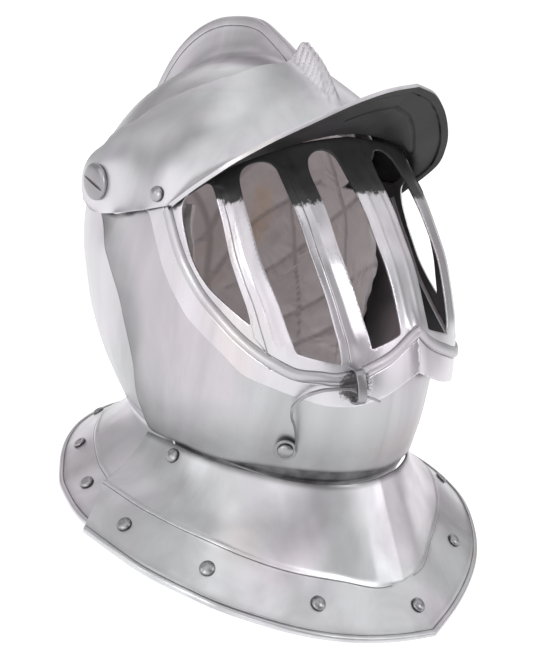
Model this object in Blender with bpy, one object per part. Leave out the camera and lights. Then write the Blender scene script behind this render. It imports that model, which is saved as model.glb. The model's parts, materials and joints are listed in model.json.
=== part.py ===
"""Close burgonet: comb, fall with peak, barred visor, bevor and riveted collar.

The helmet is drawn upright, in millimetres, about the pivot axis of its face
plates: x runs to the wearer's left, f forward and z up. The empty "helmet"
carries everything and lays the helmet back on its collar rim, facing -Y.
"""
import math

import bmesh
import bpy
import numpy as np
from mathutils import Matrix, Vector

MM = 0.001
REST_TILT = math.radians(24.37)     # the helmet lies back this far on its rim
SEAT_FORWARD = 83.95               # pivot axis behind the middle of the footprint
SHEET = 1.2                         # thickness of the steel
LAYER = 2.2                         # one sheet and the play between two
EAR_RISE, EAR_REACH = 5.8, 38.0      # rise of the fall over its ears, and its radius
RIM_FRONT = (150.0, -275.0)         # point of the collar, f and z
FLOOR_SLOPE = math.tan(REST_TILT)
RIM_TURN = 3.2                      # the rim of the collar is turned down this far
FLOOR_TRIM = 0.4                    # and ground level by this much where it rests
FLOOR_BLOCK = (500.0, 10.0)         # width and depth of the block that levels it

# Bowl of the skull: an ellipsoid about this centre, open in front.
BOWL_F, BOWL_Z = 23.5, -43.0
BOWL_HALF_WIDTH, BOWL_BACK, BOWL_RISE = 97.0, 117.5, 115.0

# Level sections of the skull: height, half width, front reach, back reach.
SKULL_BELOW = [
    (-165, 74.0, 108, -61.0), (-150, 77.0, 112, -69.0), (-140, 79.2, 116, -74.5),
    (-120, 84.0, 128, -85.5), (-100, 89.2, 136, -92.5), (-70, 94.8, 134, -96.0),
    (-43, 97.0, 128, -94.0)]
SKULL_FRONT = [
    (-43, 128), (-20, 119), (0, 111), (10, 109), (20, 107), (30, 104), (40, 98),
    (50, 88), (60, 73), (68, 52), (72, 23.5)]

# Edge of the comb seen from the side: f and z.
COMB_EDGE = [
    (97, 40), (90, 52), (80, 66), (68, 78.5), (54, 90.5), (33, 97.5), (14, 99.5),
    (-4, 97), (-26, 88), (-48, 71), (-66, 49), (-80, 24), (-89, -4), (-94, -32),
    (-95.5, -56), (-94, -78)]
# The comb across: half width, share of its height left.
COMB_SIDE = [(0.0, 1.0), (3.0, 0.97), (4.0, 0.62), (5.2, 0.34), (8.0, 0.13), (12.5, 0.03),
             (18.0, 0.0)]

# Neck edge of the skull and the fan centre its surface is drawn from: f and z.
SKULL_NECK = [(-80.2, -131), (-67, -133), (-54, -135), (-38, -138), (-15, -145.5),
              (3, -151), (22, -155), (40, -159)]
FAN = (38.0, -12.0)
FAN_SPREAD = (0.93, 0.8, 0.62, 0.45, 0.31, 0.17, 0.0)
BROW_ANGLE = 24.9

# Round the pivot every plate is flat, this far from the middle plane.
FLAT = dict(skull=86.8, bevor=89.6, visor=92.4, fall=95.4)
FLAT_RADII = dict(skull=(14, 50), bevor=(18, 44), visor=(20, 40), fall=(24, 36))

# Level sections of the face plates: height, half width and front reach.
FACE = [
    (-160, 79.2, 143.2), (-150, 81.5, 147.0), (-140, 84.0, 149.5), (-125, 88.0, 151.7),
    (-113, 91.2, 152.4), (-101, 93.6, 152.8), (-90, 95.6, 151.5), (-78, 97.2, 149.6),
    (-63, 100.2, 146.0), (-49, 101.6, 141.0), (-35, 101.2, 136.0), (-20, 100.6, 129.0),
    (-10, 98.8, 123.5), (4, 94.6, 117.2), (10, 92.3, 115.4), (16, 89.7, 113.2),
    (24, 85.5, 109.0)]
CHIN = [
    (-205, 73.0, 107.0), (-190, 73.6, 116.0), (-184, 74.0, 121.0), (-177, 74.8, 125.5),
    (-170, 76.5, 128.8), (-160, 78.2, 133.7), (-150, 80.2, 137.5), (-140, 82.4, 140.5),
    (-130, 85.2, 143.0), (-113, 89.6, 145.5), (-101, 92.2, 146.0), (-78, 96.8, 141.0),
    (-49, 99.7, 131.5), (-20, 98.1, 121.5), (-10, 95.9, 117.5), (4, 91.4, 114.0),
    (10, 89.1, 112.5), (16, 86.6, 111.0), (24, 82.8, 109.0)]
FACE_CENTRE = 23.5
# How full the sections are, by height: 2 is an ellipse.
FACE_POWER = [(-160, 2.8), (24, 2.8)]
CHIN_POWER = [(-190, 2.1), (-130, 2.2), (-100, 2.35), (-60, 2.5), (24, 2.6)]
KEEL = [(-150, 2.0), (-125, 2.2), (-113, 2.6), (-101, 2.6), (-88, 0.4), (-78, 0.0), (24, 0.0)]
KEEL_HALF_WIDTH = 15.0

# Outlines of the face plates seen from the side, from the front line backwards.
VISOR_LOWER = [
    (None, -124.2), (150.5, -131), (149.2, -133.5), (146.4, -135.3), (142.8, -136.3), (134.8, -134.3),
    (125.8, -129.4), (114.1, -122.7), (98.7, -114), (89, -102.1), (77, -89), (69.9, -80.5),
    (61.4, -56.8), (56.7, -38.1), (51, -21), (22, -17.5), (0, -16.5), (-13, -9)]
VISOR_UPPER = [
    (None, 12), (114, 9), (110, 5.5), (105, 2.5), (95.5, -2), (84, -7.5), (72, -12), (60, -10),
    (47, -1), (34, 7), (24, 10), (14, 11.5), (4, 12), (-5, 11), (-13, 2)]
BEVOR_LOWER = [
    (None, -181.5), (118.6, -178.5), (111.4, -175.8), (85.4, -169.3), (61.5, -165.9),
    (31.3, -157.9), (4.5, -149.7), (2.6, -133.6), (10.9, -107), (14.2, -71.9), (9.8, -48.9),
    (-4, -22), (-11, -10)]
BEVOR_UPPER = [
    (None, -117), (138, -121), (126, -119), (110, -111), (97, -98), (83, -84), (73, -68),
    (66, -50), (61, -20), (48, -4), (32, 5.5), (18, 9.5), (4, 10.5), (-10, 5)]

# Openings of the grille on one side: plan angle and height round each outline.
WINDOWS = {
    "front": [(16.2, -4.5), (13.5, 2.0), (8.8, 4.6), (5.2, 2.4), (3.7, -3), (3.2, -25),
              (3.0, -51), (3.0, -76), (3.2, -101.5), (14.6, -107), (16.6, -71.6),
              (16.4, -45.5), (15.9, -22.7)],
    "middle": [(43.6, -8), (41.5, -3.6), (37.5, -1.2), (33, -0.8), (29.6, -2.3), (27.8, -6.5),
               (27.3, -22.4), (27.0, -46), (27.3, -69), (26.8, -96.4), (26.2, -113),
               (42.4, -104.3), (44.0, -78.7), (45.0, -54.6), (44.8, -29.8), (44.2, -16)],
    "side": [(67.6, -17.4), (60.1, -12.1), (56.2, -9.6), (54.4, -12.5), (54.4, -25),
             (55.0, -45.3), (55.2, -65.4), (54.9, -88.4), (61.9, -75.4), (66.3, -64.2),
             (68.4, -50), (69.2, -31.2)],
}
BEAD_LINE = [
    (None, -100.5), (151.8, -111.8), (149, -116.6), (146.4, -118.7), (140.9, -119.9), (134.7, -117.8),
    (127.2, -115.8), (117.5, -108.9), (106.6, -99), (95.6, -86.2), (85.8, -72.4),
    (77.9, -55.8), (71.6, -39.1), (67, -22)]
BEAD_RADIUS = 1.9
BEAD_PROUD = 0.9                    # its middle stands this far out of the plate

# Fall, seen as half width, f and z: its rear edge on the bowl, and the line
# where the wall ends; the peak springs from the first part of that line.
FALL_REAR = [(0, 80.5, 55.5), (10, 79.5, 55), (24, 75, 53.5), (40, 69.5, 49.5),
             (55, 55, 45.5), (66, 33, 39)]
FALL_ROOT = [(0, 118, 12), (14, 117.6, 11.3), (32, 116.6, 9), (50, 113.4, 5.5), (64, 108.5, 2),
             (79, 99.8, -3), (91.5, 86, -10.5), (100, 68.5, -20)]
EAR_REAR = [(66, 33, 39), (74, 16, 31), (83, 3, 20.5), (89, -8, 17.5), (92.6, -16.5, 9.5),
            (95.4, -19, 0)]
EAR_FOOT = [(100, 68.5, -20), (103.8, 48, -20.5), (103.4, 24, -20), (98.4, 4, -19),
            (95.8, -9, -16), (95.4, -16, -9)]
PEAK_EDGE = [(0, 167, 33), (18, 163.5, 30.5), (36, 156, 25.5), (58, 143, 16.5),
             (79, 126, 6.5), (93, 108, -3.5), (98, 88, -12)]
CREST = [(25.0, 0.0), (33, 1.2), (40, 5.2), (46, 8.6), (52, 11.2), (60, 13.2)]
CREST_SIDE = [(0.0, 1.0), (3.2, 0.94), (6.0, 0.62), (8.5, 0.26), (12.0, 0.09), (18.0, 0.0)]

# Collar curves: half width, f and z, from the point backwards.
FRONT_NECK = [(None, -188), (116.5, -187.5), (111, -185), (97, -179.5), (80, -173.5),
              (62, -168.5), (36, -161), (4, -153)]   # f and z; the width is the chin's
FRONT_STEP = [(0, 130, -248), (18, 128.5, -246), (41, 119.5, -237), (73, 104, -223),
              (95, 81, -207.5), (104, 51, -197), (108, 20, -187), (108.5, -6, -178.5)]
FRONT_RIM = [(0, 150, -275), (22, 146, -271), (46, 140, -265), (72, 130, -256),
             (93, 116, -246), (117, 88, -230), (130.5, 46, -213), (133, 6, -199)]
REAR_NECK = [(20, -156.8), (4, -153.2), (-14, -147.6), (-38, -140.2), (-54, -137.2),
             (-66, -135.2), (-74, -134)]    # f and z; the width is the skull's
REAR_TUCK = 4.0                       # its upper edge stands inside the skull
REAR_STEP = [(103, 18, -189), (102.5, -1, -182.5), (98.5, -20, -174), (89.5, -38, -166),
             (74, -60, -157.5), (44, -86, -149.5), (0, -98, -146)]
REAR_RIM = [(126, 16, -205), (126, -2, -197.5), (118, -36, -183.5), (104, -58, -174.5),
            (80, -86, -165), (52, -107, None), (26, -115.5, None), (0, -118.5, None)]

# Rivets and screws: radius and height of a head, and where each one sits.
FLANGE_RIVET = (4.1, 2.6)
FRONT_RIVET_F = (121.5, 82.0, 27.0)
REAR_RIVET_F = (-22.0, -62.0, -97.0)
NECK_STUD_F = 30.0
BROW_RIVET = (62.5, -13.0)          # f, z
PIVOT_HEAD = (11.0, 3.4)
SHANK_RADIUS, HOLE_RADIUS = 3.0, 3.6
CLEAR = 0.3                         # play left under every head

# Neck lame, inside the foot of the bevor: its outlines, from the front line.
LAME_UPPER = [(None, -172), (114, -170.5), (98, -166), (80, -162), (62, -158), (45, -154)]
LAME_LOWER = [(None, -197), (104, -195), (92, -190), (78, -184), (61, -177), (45, -172)]

# Hook: its eye on the bevor, then the centre line of its blade, as half
# width, f and z; the staple it passes through stands on the visor.
HOOK_RIVET = (46.7, -158.8)         # plan angle and height on the bevor
HOOK_LEAN = (10.0, 8.0)             # degrees that the rivet leans to the front, and down
HOOK_STANDS = 1.9                   # its eye turns this far above the bevor
PIN_FOOT = 0.9                      # and its rivet starts this far above it
HOOK_PATH = [(57.2, 108.7, -159.2), (61.3, 113.7, -151.2), (66.5, 118.3, -143.5),
             (71.6, 122.1, -136.5), (73.4, 126, -131.5), (69.2, 135, -125.1), (63.5, 141, -123.7),
             (54.5, 147.5, -124.3), (46.5, 150.8, -128.7), (35.6, 154, -134.2)]
HOOK_BLADE = (4.2, 1.3)
HOOK_EYE = (6.6, 2.6, 1.4)          # outer and inner radius, thickness
STAPLE = dict(f=144.6, z=-124.0, half_height=9.5, stands=10.5, strip=(5.0, 1.5))

# Padded lining: how far inside the skull, how thick, and its front edge.
LINER_INSET, LINER_THICK = 6.5, 4.5
LINER_EDGE = [(-76, -122), (-68, -126), (-54, -130), (-38, -133), (-15, -139), (3, -144), (22, -146),
              (36, -141), (43, -117), (52, -90), (62, -53), (62, -20)]
LINER_SIDE = [(0.0, 0.0), (9.0, 0.0), (18.0, 0.0)]

STEEL = (0.62, 0.60, 0.61, 1.0)
LINEN = (0.31, 0.27, 0.25, 1.0)


# ---------------------------------------------------------------- curves

def smooth_table(rows):
    """Monotone cubic through (key, value) rows; returns a function of the key."""
    x, y = np.array(sorted(rows), float).T
    h, d = np.diff(x), np.diff(y) / np.diff(x)
    m = np.zeros(len(x))
    m[0], m[-1] = d[0], d[-1]
    for i in range(1, len(x) - 1):
        if d[i - 1] * d[i] > 0:
            w = 2 * h[i] + h[i - 1], h[i] + 2 * h[i - 1]
            m[i] = sum(w) / (w[0] / d[i - 1] + w[1] / d[i])

    def value(key):
        k = min(max(key, x[0]), x[-1])
        i = min(int(np.searchsorted(x, k, side="right")) - 1, len(x) - 2)
        t = (k - x[i]) / h[i]
        return float((2 * t**3 - 3 * t**2 + 1) * y[i] + (t**3 - 2 * t**2 + t) * h[i] * m[i]
                     + (3 * t**2 - 2 * t**3) * y[i + 1] + (t**3 - t**2) * h[i] * m[i + 1])
    return value


def resample(points, n):
    """n points evenly spaced along the smooth curve through the given points."""
    pts = np.array(points, float)
    s = np.concatenate([[0], np.cumsum(np.linalg.norm(np.diff(pts, axis=0), axis=1))])
    curves = [smooth_table(list(zip(s, pts[:, k]))) for k in range(pts.shape[1])]
    return [np.array([c(k) for c in curves]) for k in np.linspace(0, s[-1], n)]


def smoothstep(t):
    t = min(max(t, 0.0), 1.0)
    return t * t * (3 - 2 * t)


# ---------------------------------------------------------------- surfaces

class Sections:
    """A shell described by its level sections: half ellipses about one centre."""

    def __init__(self, rows, centre, power, keel=None, layer="visor"):
        self.width = smooth_table([(r[0], r[1]) for r in rows])
        self.front = smooth_table([(r[0], r[2]) for r in rows])
        self.centre, self.power = centre, smooth_table(power)
        self.keel = smooth_table(keel) if keel else None
        self.back = -92.0
        self.layer = layer

    def angle(self, f, z):
        """Plan angle of the point of the shell at f and z; 0 is the front line."""
        if f is None:
            return 0.0
        reach = self.front(z) - self.centre if f > self.centre else self.centre - self.back
        share = min(abs(f - self.centre) / reach, 1.0) ** (self.power(z) / 2)
        a = math.degrees(math.acos(share))
        return a if f > self.centre else 180.0 - a

    def plan_angle(self, p):
        """Plan angle of a point on the shell, from its width where the front is blunt."""
        share = p[0] / self.width(p[2])
        if p[1] > self.centre and share < 0.7:
            return math.degrees(math.asin(share ** (self.power(p[2]) / 2)))
        return self.angle(p[1], p[2])

    def point(self, angle, z, offset=0.0):
        a = math.radians(angle)
        c, s, e = math.cos(a), math.sin(a), 2 / self.power(z)
        reach = self.front(z) - self.centre if c > 0 else self.centre - self.back
        x = (self.width(z) + offset) * abs(s) ** e
        f = self.centre + math.copysign((reach + offset) * abs(c) ** e, c)
        if self.keel and c > 0:
            f += self.keel(z) * max(0.0, 1 - x / KEEL_HALF_WIDTH) ** 2
        return np.array([flatten(x, f, z, self.layer), f, z])


def flatten(x, f, z, layer):
    """Pull x to the flat of its layer near the pivot."""
    near, far = FLAT_RADII[layer]
    far = far if x > FLAT[layer] else near + 14
    share = smoothstep((far - math.hypot(f, z)) / (far - near))
    return x + (FLAT[layer] - x) * share


def bowl_share(z):
    return math.sqrt(max(0.0, 1 - ((z - BOWL_Z) / BOWL_RISE) ** 2))


class Skull:
    width_below = staticmethod(smooth_table([(r[0], r[1]) for r in SKULL_BELOW]))
    front_below = staticmethod(smooth_table([(r[0], r[2]) for r in SKULL_BELOW]))
    back_below = staticmethod(smooth_table([(r[0], r[3]) for r in SKULL_BELOW]))
    front_above = staticmethod(smooth_table(SKULL_FRONT))

    @classmethod
    def half_width(cls, f, z, inset=0.0):
        """Half width of the skull at f and z, inset by so many millimetres."""
        if z > BOWL_Z:
            rise = (z - BOWL_Z) * BOWL_RISE / (BOWL_RISE - inset) + BOWL_Z
            if rise >= BOWL_Z + BOWL_RISE:
                return 0.0
            share = bowl_share(rise)
            w, back = BOWL_HALF_WIDTH * share, BOWL_F - BOWL_BACK * share
            front = cls.front_above(rise)
        else:
            w, front, back = cls.width_below(z), cls.front_below(z), cls.back_below(z)
        reach = (front - BOWL_F if f > BOWL_F else BOWL_F - back) - inset
        d = (f - BOWL_F) / max(reach, 1e-6)
        x = (w - inset) * math.sqrt(max(0.0, 1 - d * d))
        return flatten(x + inset, f, z, "skull") - inset


def ray_end(angle, inside):
    """Distance from the fan centre to where inside(f, z) stops being true."""
    c, s = math.cos(math.radians(angle)), math.sin(math.radians(angle))
    low, high = 0.0, 220.0
    for _ in range(40):
        mid = (low + high) / 2
        low, high = (mid, high) if inside(FAN[0] + mid * c, FAN[1] + mid * s) else (low, mid)
    return low


def polar(points):
    """(angle, radius) table about the fan centre, angles rising from the brow."""
    rows = []
    for f, z in points:
        a = math.degrees(math.atan2(z - FAN[1], f - FAN[0])) % 360
        rows.append((a, math.hypot(z - FAN[1], f - FAN[0])))
    return rows


def fan_rows(edge, stations, spread, inset=0.0, side=COMB_SIDE):
    """Rows of points of half the skull, from its end inwards to the fan centre."""
    comb_edge = smooth_table(polar(COMB_EDGE))
    comb_span = [polar(COMB_EDGE)[i][0] for i in (0, -1)]
    edge_pts = resample(edge, 200)
    edge_polar = smooth_table(polar([(p[0], p[1]) for p in edge_pts]))
    nape = polar(edge)[0][0]
    angles = list(np.linspace(BROW_ANGLE, nape, stations))
    angles += [polar([tuple(p)])[0][0] for p in resample(edge, stations // 2)[1:]]
    rows = []
    for angle in angles:
        c, s = math.cos(math.radians(angle)), math.sin(math.radians(angle))
        at = lambda r: (FAN[0] + r * c, FAN[1] + r * s)
        wide = lambda r: Skull.half_width(*at(r), inset)
        row = []
        if angle <= nape + 1e-6:
            end = ray_end(angle, lambda f, z: Skull.half_width(f, z, inset) > 1e-3)
            tall = 0.0
            if side is COMB_SIDE and comb_span[0] < angle < comb_span[1]:
                tall = max(0.0, comb_edge(angle) - end)
            for x, share in side:
                low, high = end * 0.5, end
                for _ in range(40):
                    mid = (low + high) / 2
                    low, high = (mid, high) if wide(mid) > x else (low, mid)
                row.append((x, low + tall * share))
            inner = row[-1][1]
        else:
            end = edge_polar(angle)
            for x, _ in side:
                row.append((wide(end - x), end - x))
            inner = end - side[-1][0]
        row += [(wide(inner * share), inner * share) for share in spread]
        rows.append([np.array([x, *at(r)]) for x, r in row])
    return rows


def patch_rows(shell, upper, lower, across, down, offset=0.0, bias=1.0):
    """Rows of points of half a face plate between its upper and lower outline."""
    def outline(table):
        pts = [shell.point(shell.angle(f, z), z) for f, z in table]
        return resample(pts, across)
    rows = []
    for a, b in zip(outline(upper), outline(lower)):
        top = (shell.plan_angle(a) if a[0] > 0.02 else 0.0, a[2])
        foot = (shell.plan_angle(b) if b[0] > 0.02 else 0.0, b[2])
        rows.append([shell.point(top[0] + (foot[0] - top[0]) * t, top[1] + (foot[1] - top[1]) * t,
                                 offset) for t in np.linspace(0, 1, down) ** bias])
    return rows


# ---------------------------------------------------------------- meshes

def world(p):
    return Vector((p[0] * MM, -p[1] * MM, p[2] * MM))


def add(name, bm, colour=STEEL, rough=0.3, metal=1.0, parent=None):
    mesh = bpy.data.meshes.new(name)
    bm.to_mesh(mesh)
    bm.free()
    mesh.shade_smooth()
    mesh.set_sharp_from_angle(angle=math.radians(38))
    obj = bpy.data.objects.new(name, mesh)
    bpy.context.scene.collection.objects.link(obj)
    mat = bpy.data.materials.new(name + "_material")
    mat.use_nodes = True
    shader = mat.node_tree.nodes["Principled BSDF"]
    shader.inputs["Base Color"].default_value = colour
    shader.inputs["Roughness"].default_value = rough
    shader.inputs["Metallic"].default_value = metal
    mesh.materials.append(mat)
    obj.parent = parent
    return obj


def sheet_mesh(rows_list):
    """Both halves of a plate from rows of points of one half, wound outwards."""
    bm = bmesh.new()
    for side in (1, -1):
        for rows in rows_list:
            grid = [[bm.verts.new(world(p * np.array([side, 1, 1]))) for p in row] for row in rows]
            for r0, r1 in zip(grid, grid[1:]):
                for i in range(len(r0) - 1):
                    loop = [r0[i], r0[i + 1], r1[i + 1], r1[i]]
                    bm.faces.new(loop if side == 1 else loop[::-1])
    bmesh.ops.remove_doubles(bm, verts=bm.verts, dist=2e-5)
    bmesh.ops.dissolve_degenerate(bm, edges=bm.edges, dist=1e-5)
    hub = Vector((0, -20 * MM, 0))
    level = Vector((1, 1, 0))
    outward = sum(f.normal.dot((f.calc_center_median() - hub) * level) * f.calc_area()
                  for f in bm.faces)
    if outward < 0:
        bmesh.ops.reverse_faces(bm, faces=bm.faces)
    return bm


def plate(name, rows_list, parent, thickness=SHEET, colour=STEEL, rough=0.3, metal=1.0):
    obj = add(name, sheet_mesh(rows_list), colour, rough, metal, parent)
    solid = obj.modifiers.new("sheet", "SOLIDIFY")
    solid.thickness = thickness * MM
    solid.offset = -1
    solid.use_even_offset = True
    obj.modifiers.new("facets", "TRIANGULATE")
    return obj


def cut(obj, cutter, operation="DIFFERENCE"):
    cutter.hide_render = True
    cutter.display_type = "WIRE"
    cutter.parent = obj.parent
    mod = obj.modifiers.new(operation.lower(), "BOOLEAN")
    mod.object = cutter
    mod.operation = operation
    mod.solver = "EXACT"
    return mod


def lathe(profile, sides):
    """Closed solid turned about +Z from (radius, height) rows, foot to top."""
    bm = bmesh.new()
    rings = []
    for r, h in profile:
        if r < 1e-6:
            rings.append([bm.verts.new((0, 0, h * MM))])
        else:
            rings.append([bm.verts.new((r * MM * math.cos(2 * math.pi * k / sides),
                                        r * MM * math.sin(2 * math.pi * k / sides), h * MM))
                          for k in range(sides)])
    for a, b in zip(rings, rings[1:]):
        for k in range(sides):
            n = (k + 1) % sides
            if len(a) == 1:
                bm.faces.new((a[0], b[n], b[k]))
            elif len(b) == 1:
                bm.faces.new((a[k], a[n], b[0]))
            else:
                bm.faces.new((a[k], a[n], b[n], b[k]))
    bmesh.ops.recalc_face_normals(bm, faces=bm.faces)
    return bm


def aim(obj, place, normal):
    """Stand a turned piece on a point of the helmet, its +Z along the normal."""
    turn = Vector((normal[0], -normal[1], normal[2])).normalized()
    obj.matrix_local = Matrix.Translation(world(place)) @ turn.to_track_quat("Z", "Y").to_matrix().to_4x4()


def sweep(path, frames, half_wide, half_thick):
    """Square-edged strip along a path; frames gives its (width, thickness) axes."""
    bm = bmesh.new()
    rings = []
    for p, (u, v) in zip(path, frames):
        rings.append([bm.verts.new(world(p + u * a * half_wide + v * b * half_thick))
                      for a, b in ((-1, -1), (1, -1), (1, 1), (-1, 1))])
    for a, b in zip(rings, rings[1:]):
        for k in range(4):
            bm.faces.new((a[k], a[(k + 1) % 4], b[(k + 1) % 4], b[k]))
    bm.faces.new(rings[0])
    bm.faces.new(rings[-1][::-1])
    bmesh.ops.recalc_face_normals(bm, faces=bm.faces)
    return bm


def seat(rows, f, first, last):
    """Point and outward normal halfway between two columns of a collar, where it reaches f."""
    mids = [(row[first] + row[last]) / 2 for row in rows]
    k = next((i for i in range(len(mids) - 2) if mids[i + 1][1] <= f), len(mids) - 2)
    t = min(max((mids[k][1] - f) / (mids[k][1] - mids[k + 1][1]), 0), 1)
    slope = rows[k][last] - rows[k][first] + (rows[k + 1][last] - rows[k + 1][first])
    normal = np.cross(mids[k + 1] - mids[k], slope)
    return mids[k] + (mids[k + 1] - mids[k]) * t, normal / np.linalg.norm(normal)


def on_rows(rows, f, z):
    """Point and outward normal of a half plate where it is seen at f and z."""
    for r0, r1 in zip(rows, rows[1:]):
        for i in range(len(r0) - 1):
            for tri in ((r0[i], r0[i + 1], r1[i + 1]), (r0[i], r1[i + 1], r1[i])):
                (f0, z0), (f1, z1), (f2, z2) = [(t[1], t[2]) for t in tri]
                area = (f1 - f0) * (z2 - z0) - (f2 - f0) * (z1 - z0)
                if abs(area) < 1e-9:
                    continue
                u = ((f - f0) * (z2 - z0) - (f2 - f0) * (z - z0)) / area
                v = ((f1 - f0) * (z - z0) - (f - f0) * (z1 - z0)) / area
                if min(u, v, 1 - u - v) > -1e-6:
                    n = np.cross(tri[1] - tri[0], tri[2] - tri[0])
                    n *= (1 if n[0] > 0 else -1) / np.linalg.norm(n)
                    return tri[0] + u * (tri[1] - tri[0]) + v * (tri[2] - tri[0]), n
    raise ValueError("no plate there")


# ---------------------------------------------------------------- the plates

def fall_rows(ear_columns=7, peak_columns=8, wall_rows=6, peak_rows=3):
    """Wall of the fall with its crest, the ear at its side, and the peak."""
    centre = np.array([0, BOWL_F, BOWL_Z])
    axes = np.array([BOWL_HALF_WIDTH, BOWL_BACK, BOWL_RISE])
    crest, side = smooth_table(CREST), smooth_table(CREST_SIDE)
    size = lambda p: float(np.linalg.norm((p - centre) / axes))

    def wall(rear, root, t):
        near = smoothstep((EAR_REACH - math.hypot(rear[1], rear[2])) / 16)
        e0 = 1 + (LAYER + EAR_RISE * near) / BOWL_HALF_WIDTH
        reach = 1 - 0.45 * smoothstep((rear[0] - 20) / 40)
        e = e0 + (size(root) - e0) * min(t / reach, 1.0)
        p = rear + (root - rear) * t
        p = centre + (p - centre) * e / size(p)
        normal = (p - centre) / axes**2
        normal /= np.linalg.norm(normal)
        p = p + normal * crest(p[2]) * side(abs(p[0]))
        p[0] = flatten(p[0], p[1], p[2], "fall")
        return p

    def across(table, columns):
        fine = resample(table, 400)
        xs = [c[0] for c in CREST_SIDE]
        start = [min(fine, key=lambda p: abs(p[0] - x)) for x in xs]
        rest = [p for p in fine if p[0] >= xs[-1]]
        return start + resample(rest, columns)[1:]

    steps = np.linspace(0, 1, wall_rows)
    front = [[wall(a, b, t) for t in steps]
             for a, b in zip(across(FALL_REAR, peak_columns), across(FALL_ROOT, peak_columns))]
    ear = [[wall(a, b, t) for t in steps]
           for a, b in zip(resample(EAR_REAR, ear_columns), resample(EAR_FOOT, ear_columns))]
    tips = across(PEAK_EDGE + [FALL_ROOT[-1]], peak_columns)
    peak = []
    for column, tip in zip(front, tips):
        root = column[-1]
        spread = np.linspace(0, 1, peak_rows + 1)
        peak.append([root + (tip - root) * t - np.array([0, 0, 1.8]) * math.sin(math.pi * t)
                     * (1 - abs(tip[0]) / 98) for t in spread])
    return front, ear, peak


def collar_rows(neck, step, rim, across, tuck=0.0, flare_rows=4):
    """Half a collar plate from its neck edge over the border to the turned rim."""
    floor_z = lambda f: RIM_FRONT[1] + (RIM_FRONT[0] - f) * FLOOR_SLOPE
    rim = [(w, f, floor_z(f) if z is None else z) for w, f, z in rim]
    up = np.array([0, math.sin(REST_TILT), math.cos(REST_TILT)])
    rows = []
    for a, b, c in zip(*(resample(t, across) for t in (neck, step, rim))):
        out = np.array([c[0] - b[0], c[1] - b[1], 0])
        out /= np.linalg.norm(out)
        flare = [a + (b - a) * t - (out * 0.5 + np.array([0, 0, 0.8])) * 3.2 * math.sin(math.pi * t)
                 * abs(b[0]) / 110 for t in np.linspace(0, 1, flare_rows + 1)]
        if tuck:
            flare = [a + np.array([0, 0, tuck])] + flare[:1] + flare[2:]
        rows.append(flare + [(b + c) / 2, c, c + out * 0.7 - up * RIM_TURN / 2,
                             c + out * 0.2 - up * RIM_TURN])
    return rows


def window_cutter(face):
    """Prisms through the grille openings, on both sides."""
    bm = bmesh.new()
    for outline in WINDOWS.values():
        for side in (1, -1):
            rings = [[bm.verts.new(world(face.point(a, z, depth) * np.array([side, 1, 1])))
                      for a, z in outline] for depth in (-9.0, 9.0)]
            n = len(outline)
            faces = [bm.faces.new(ring) for ring in rings]
            faces += [bm.faces.new((rings[0][k], rings[0][(k + 1) % n],
                                    rings[1][(k + 1) % n], rings[1][k])) for k in range(n)]
            bmesh.ops.recalc_face_normals(bm, faces=faces)
    bmesh.ops.triangulate(bm, faces=bm.faces)
    return bm


def bead_tube(face, stations=15, sides=4):
    """Rounded bead that follows the lower rim of the grille on both sides."""
    half = [face.point(face.angle(f, z), z, BEAD_PROUD) for f, z in BEAD_LINE]
    half = resample(half, stations)
    half[0][0] = 0.0
    path = [p * np.array([-1, 1, 1]) for p in half[:0:-1]] + half
    bm = bmesh.new()
    rings = []
    for k, p in enumerate(path):
        along = path[min(k + 1, len(path) - 1)] - path[max(k - 1, 0)]
        along /= np.linalg.norm(along)
        out = np.array([p[0], p[1] - FACE_CENTRE, 0]) / np.hypot(p[0], p[1] - FACE_CENTRE)
        out -= along * (out @ along)
        out /= np.linalg.norm(out)
        across = np.cross(along, out)
        rings.append([bm.verts.new(world(p + BEAD_RADIUS * (math.cos(a) * out + math.sin(a) * across)))
                      for a in (2 * math.pi * j / sides for j in range(sides))])
    for a, b in zip(rings, rings[1:]):
        for j in range(sides):
            bm.faces.new((a[j], a[(j + 1) % sides], b[(j + 1) % sides], b[j]))
    bm.faces.new(rings[0])
    bm.faces.new(rings[-1])
    bmesh.ops.recalc_face_normals(bm, faces=bm.faces)
    return bm


def staple_strip(face, side):
    """Upright loop of strip on the flange of the visor, its feet sunk in it."""
    f, z, stands = STAPLE["f"], STAPLE["z"], STAPLE["stands"]
    angle = face.angle(f, z)
    foot = face.point(angle, z)
    ahead = face.point(angle + 2, z) - foot
    ahead /= np.linalg.norm(ahead)
    out = np.array([ahead[1], -ahead[0], 0])
    out *= 1 if out[0] > 0 else -1
    up = np.array([0, 0, 1.0])
    h = STAPLE["half_height"]
    loop = [(-0.9, h), (stands * 0.55, h - 0.4), (stands * 0.92, h * 0.62), (stands, 0.0),
            (stands * 0.92, -h * 0.62), (stands * 0.55, -h + 0.4), (-0.9, -h)]
    wide, thick = STAPLE["strip"]
    path = []
    for o, rise in loop:
        base = face.point(face.angle(f, z + rise), z + rise)
        centre = foot + up * rise + out * o
        if o < 0:
            centre = base * np.array([1, 1, 0]) + up * (z + rise) + out * o
        path.append(centre)
    frames = []
    for k, p in enumerate(path):
        along = path[min(k + 1, len(path) - 1)] - path[max(k - 1, 0)]
        along /= np.linalg.norm(along)
        frames.append((ahead, np.cross(along, ahead)))
    mirror = np.array([side, 1, 1])
    return sweep([p * mirror for p in path], [(u * mirror, v * mirror) for u, v in frames],
                 wide / 2, thick / 2)


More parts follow.
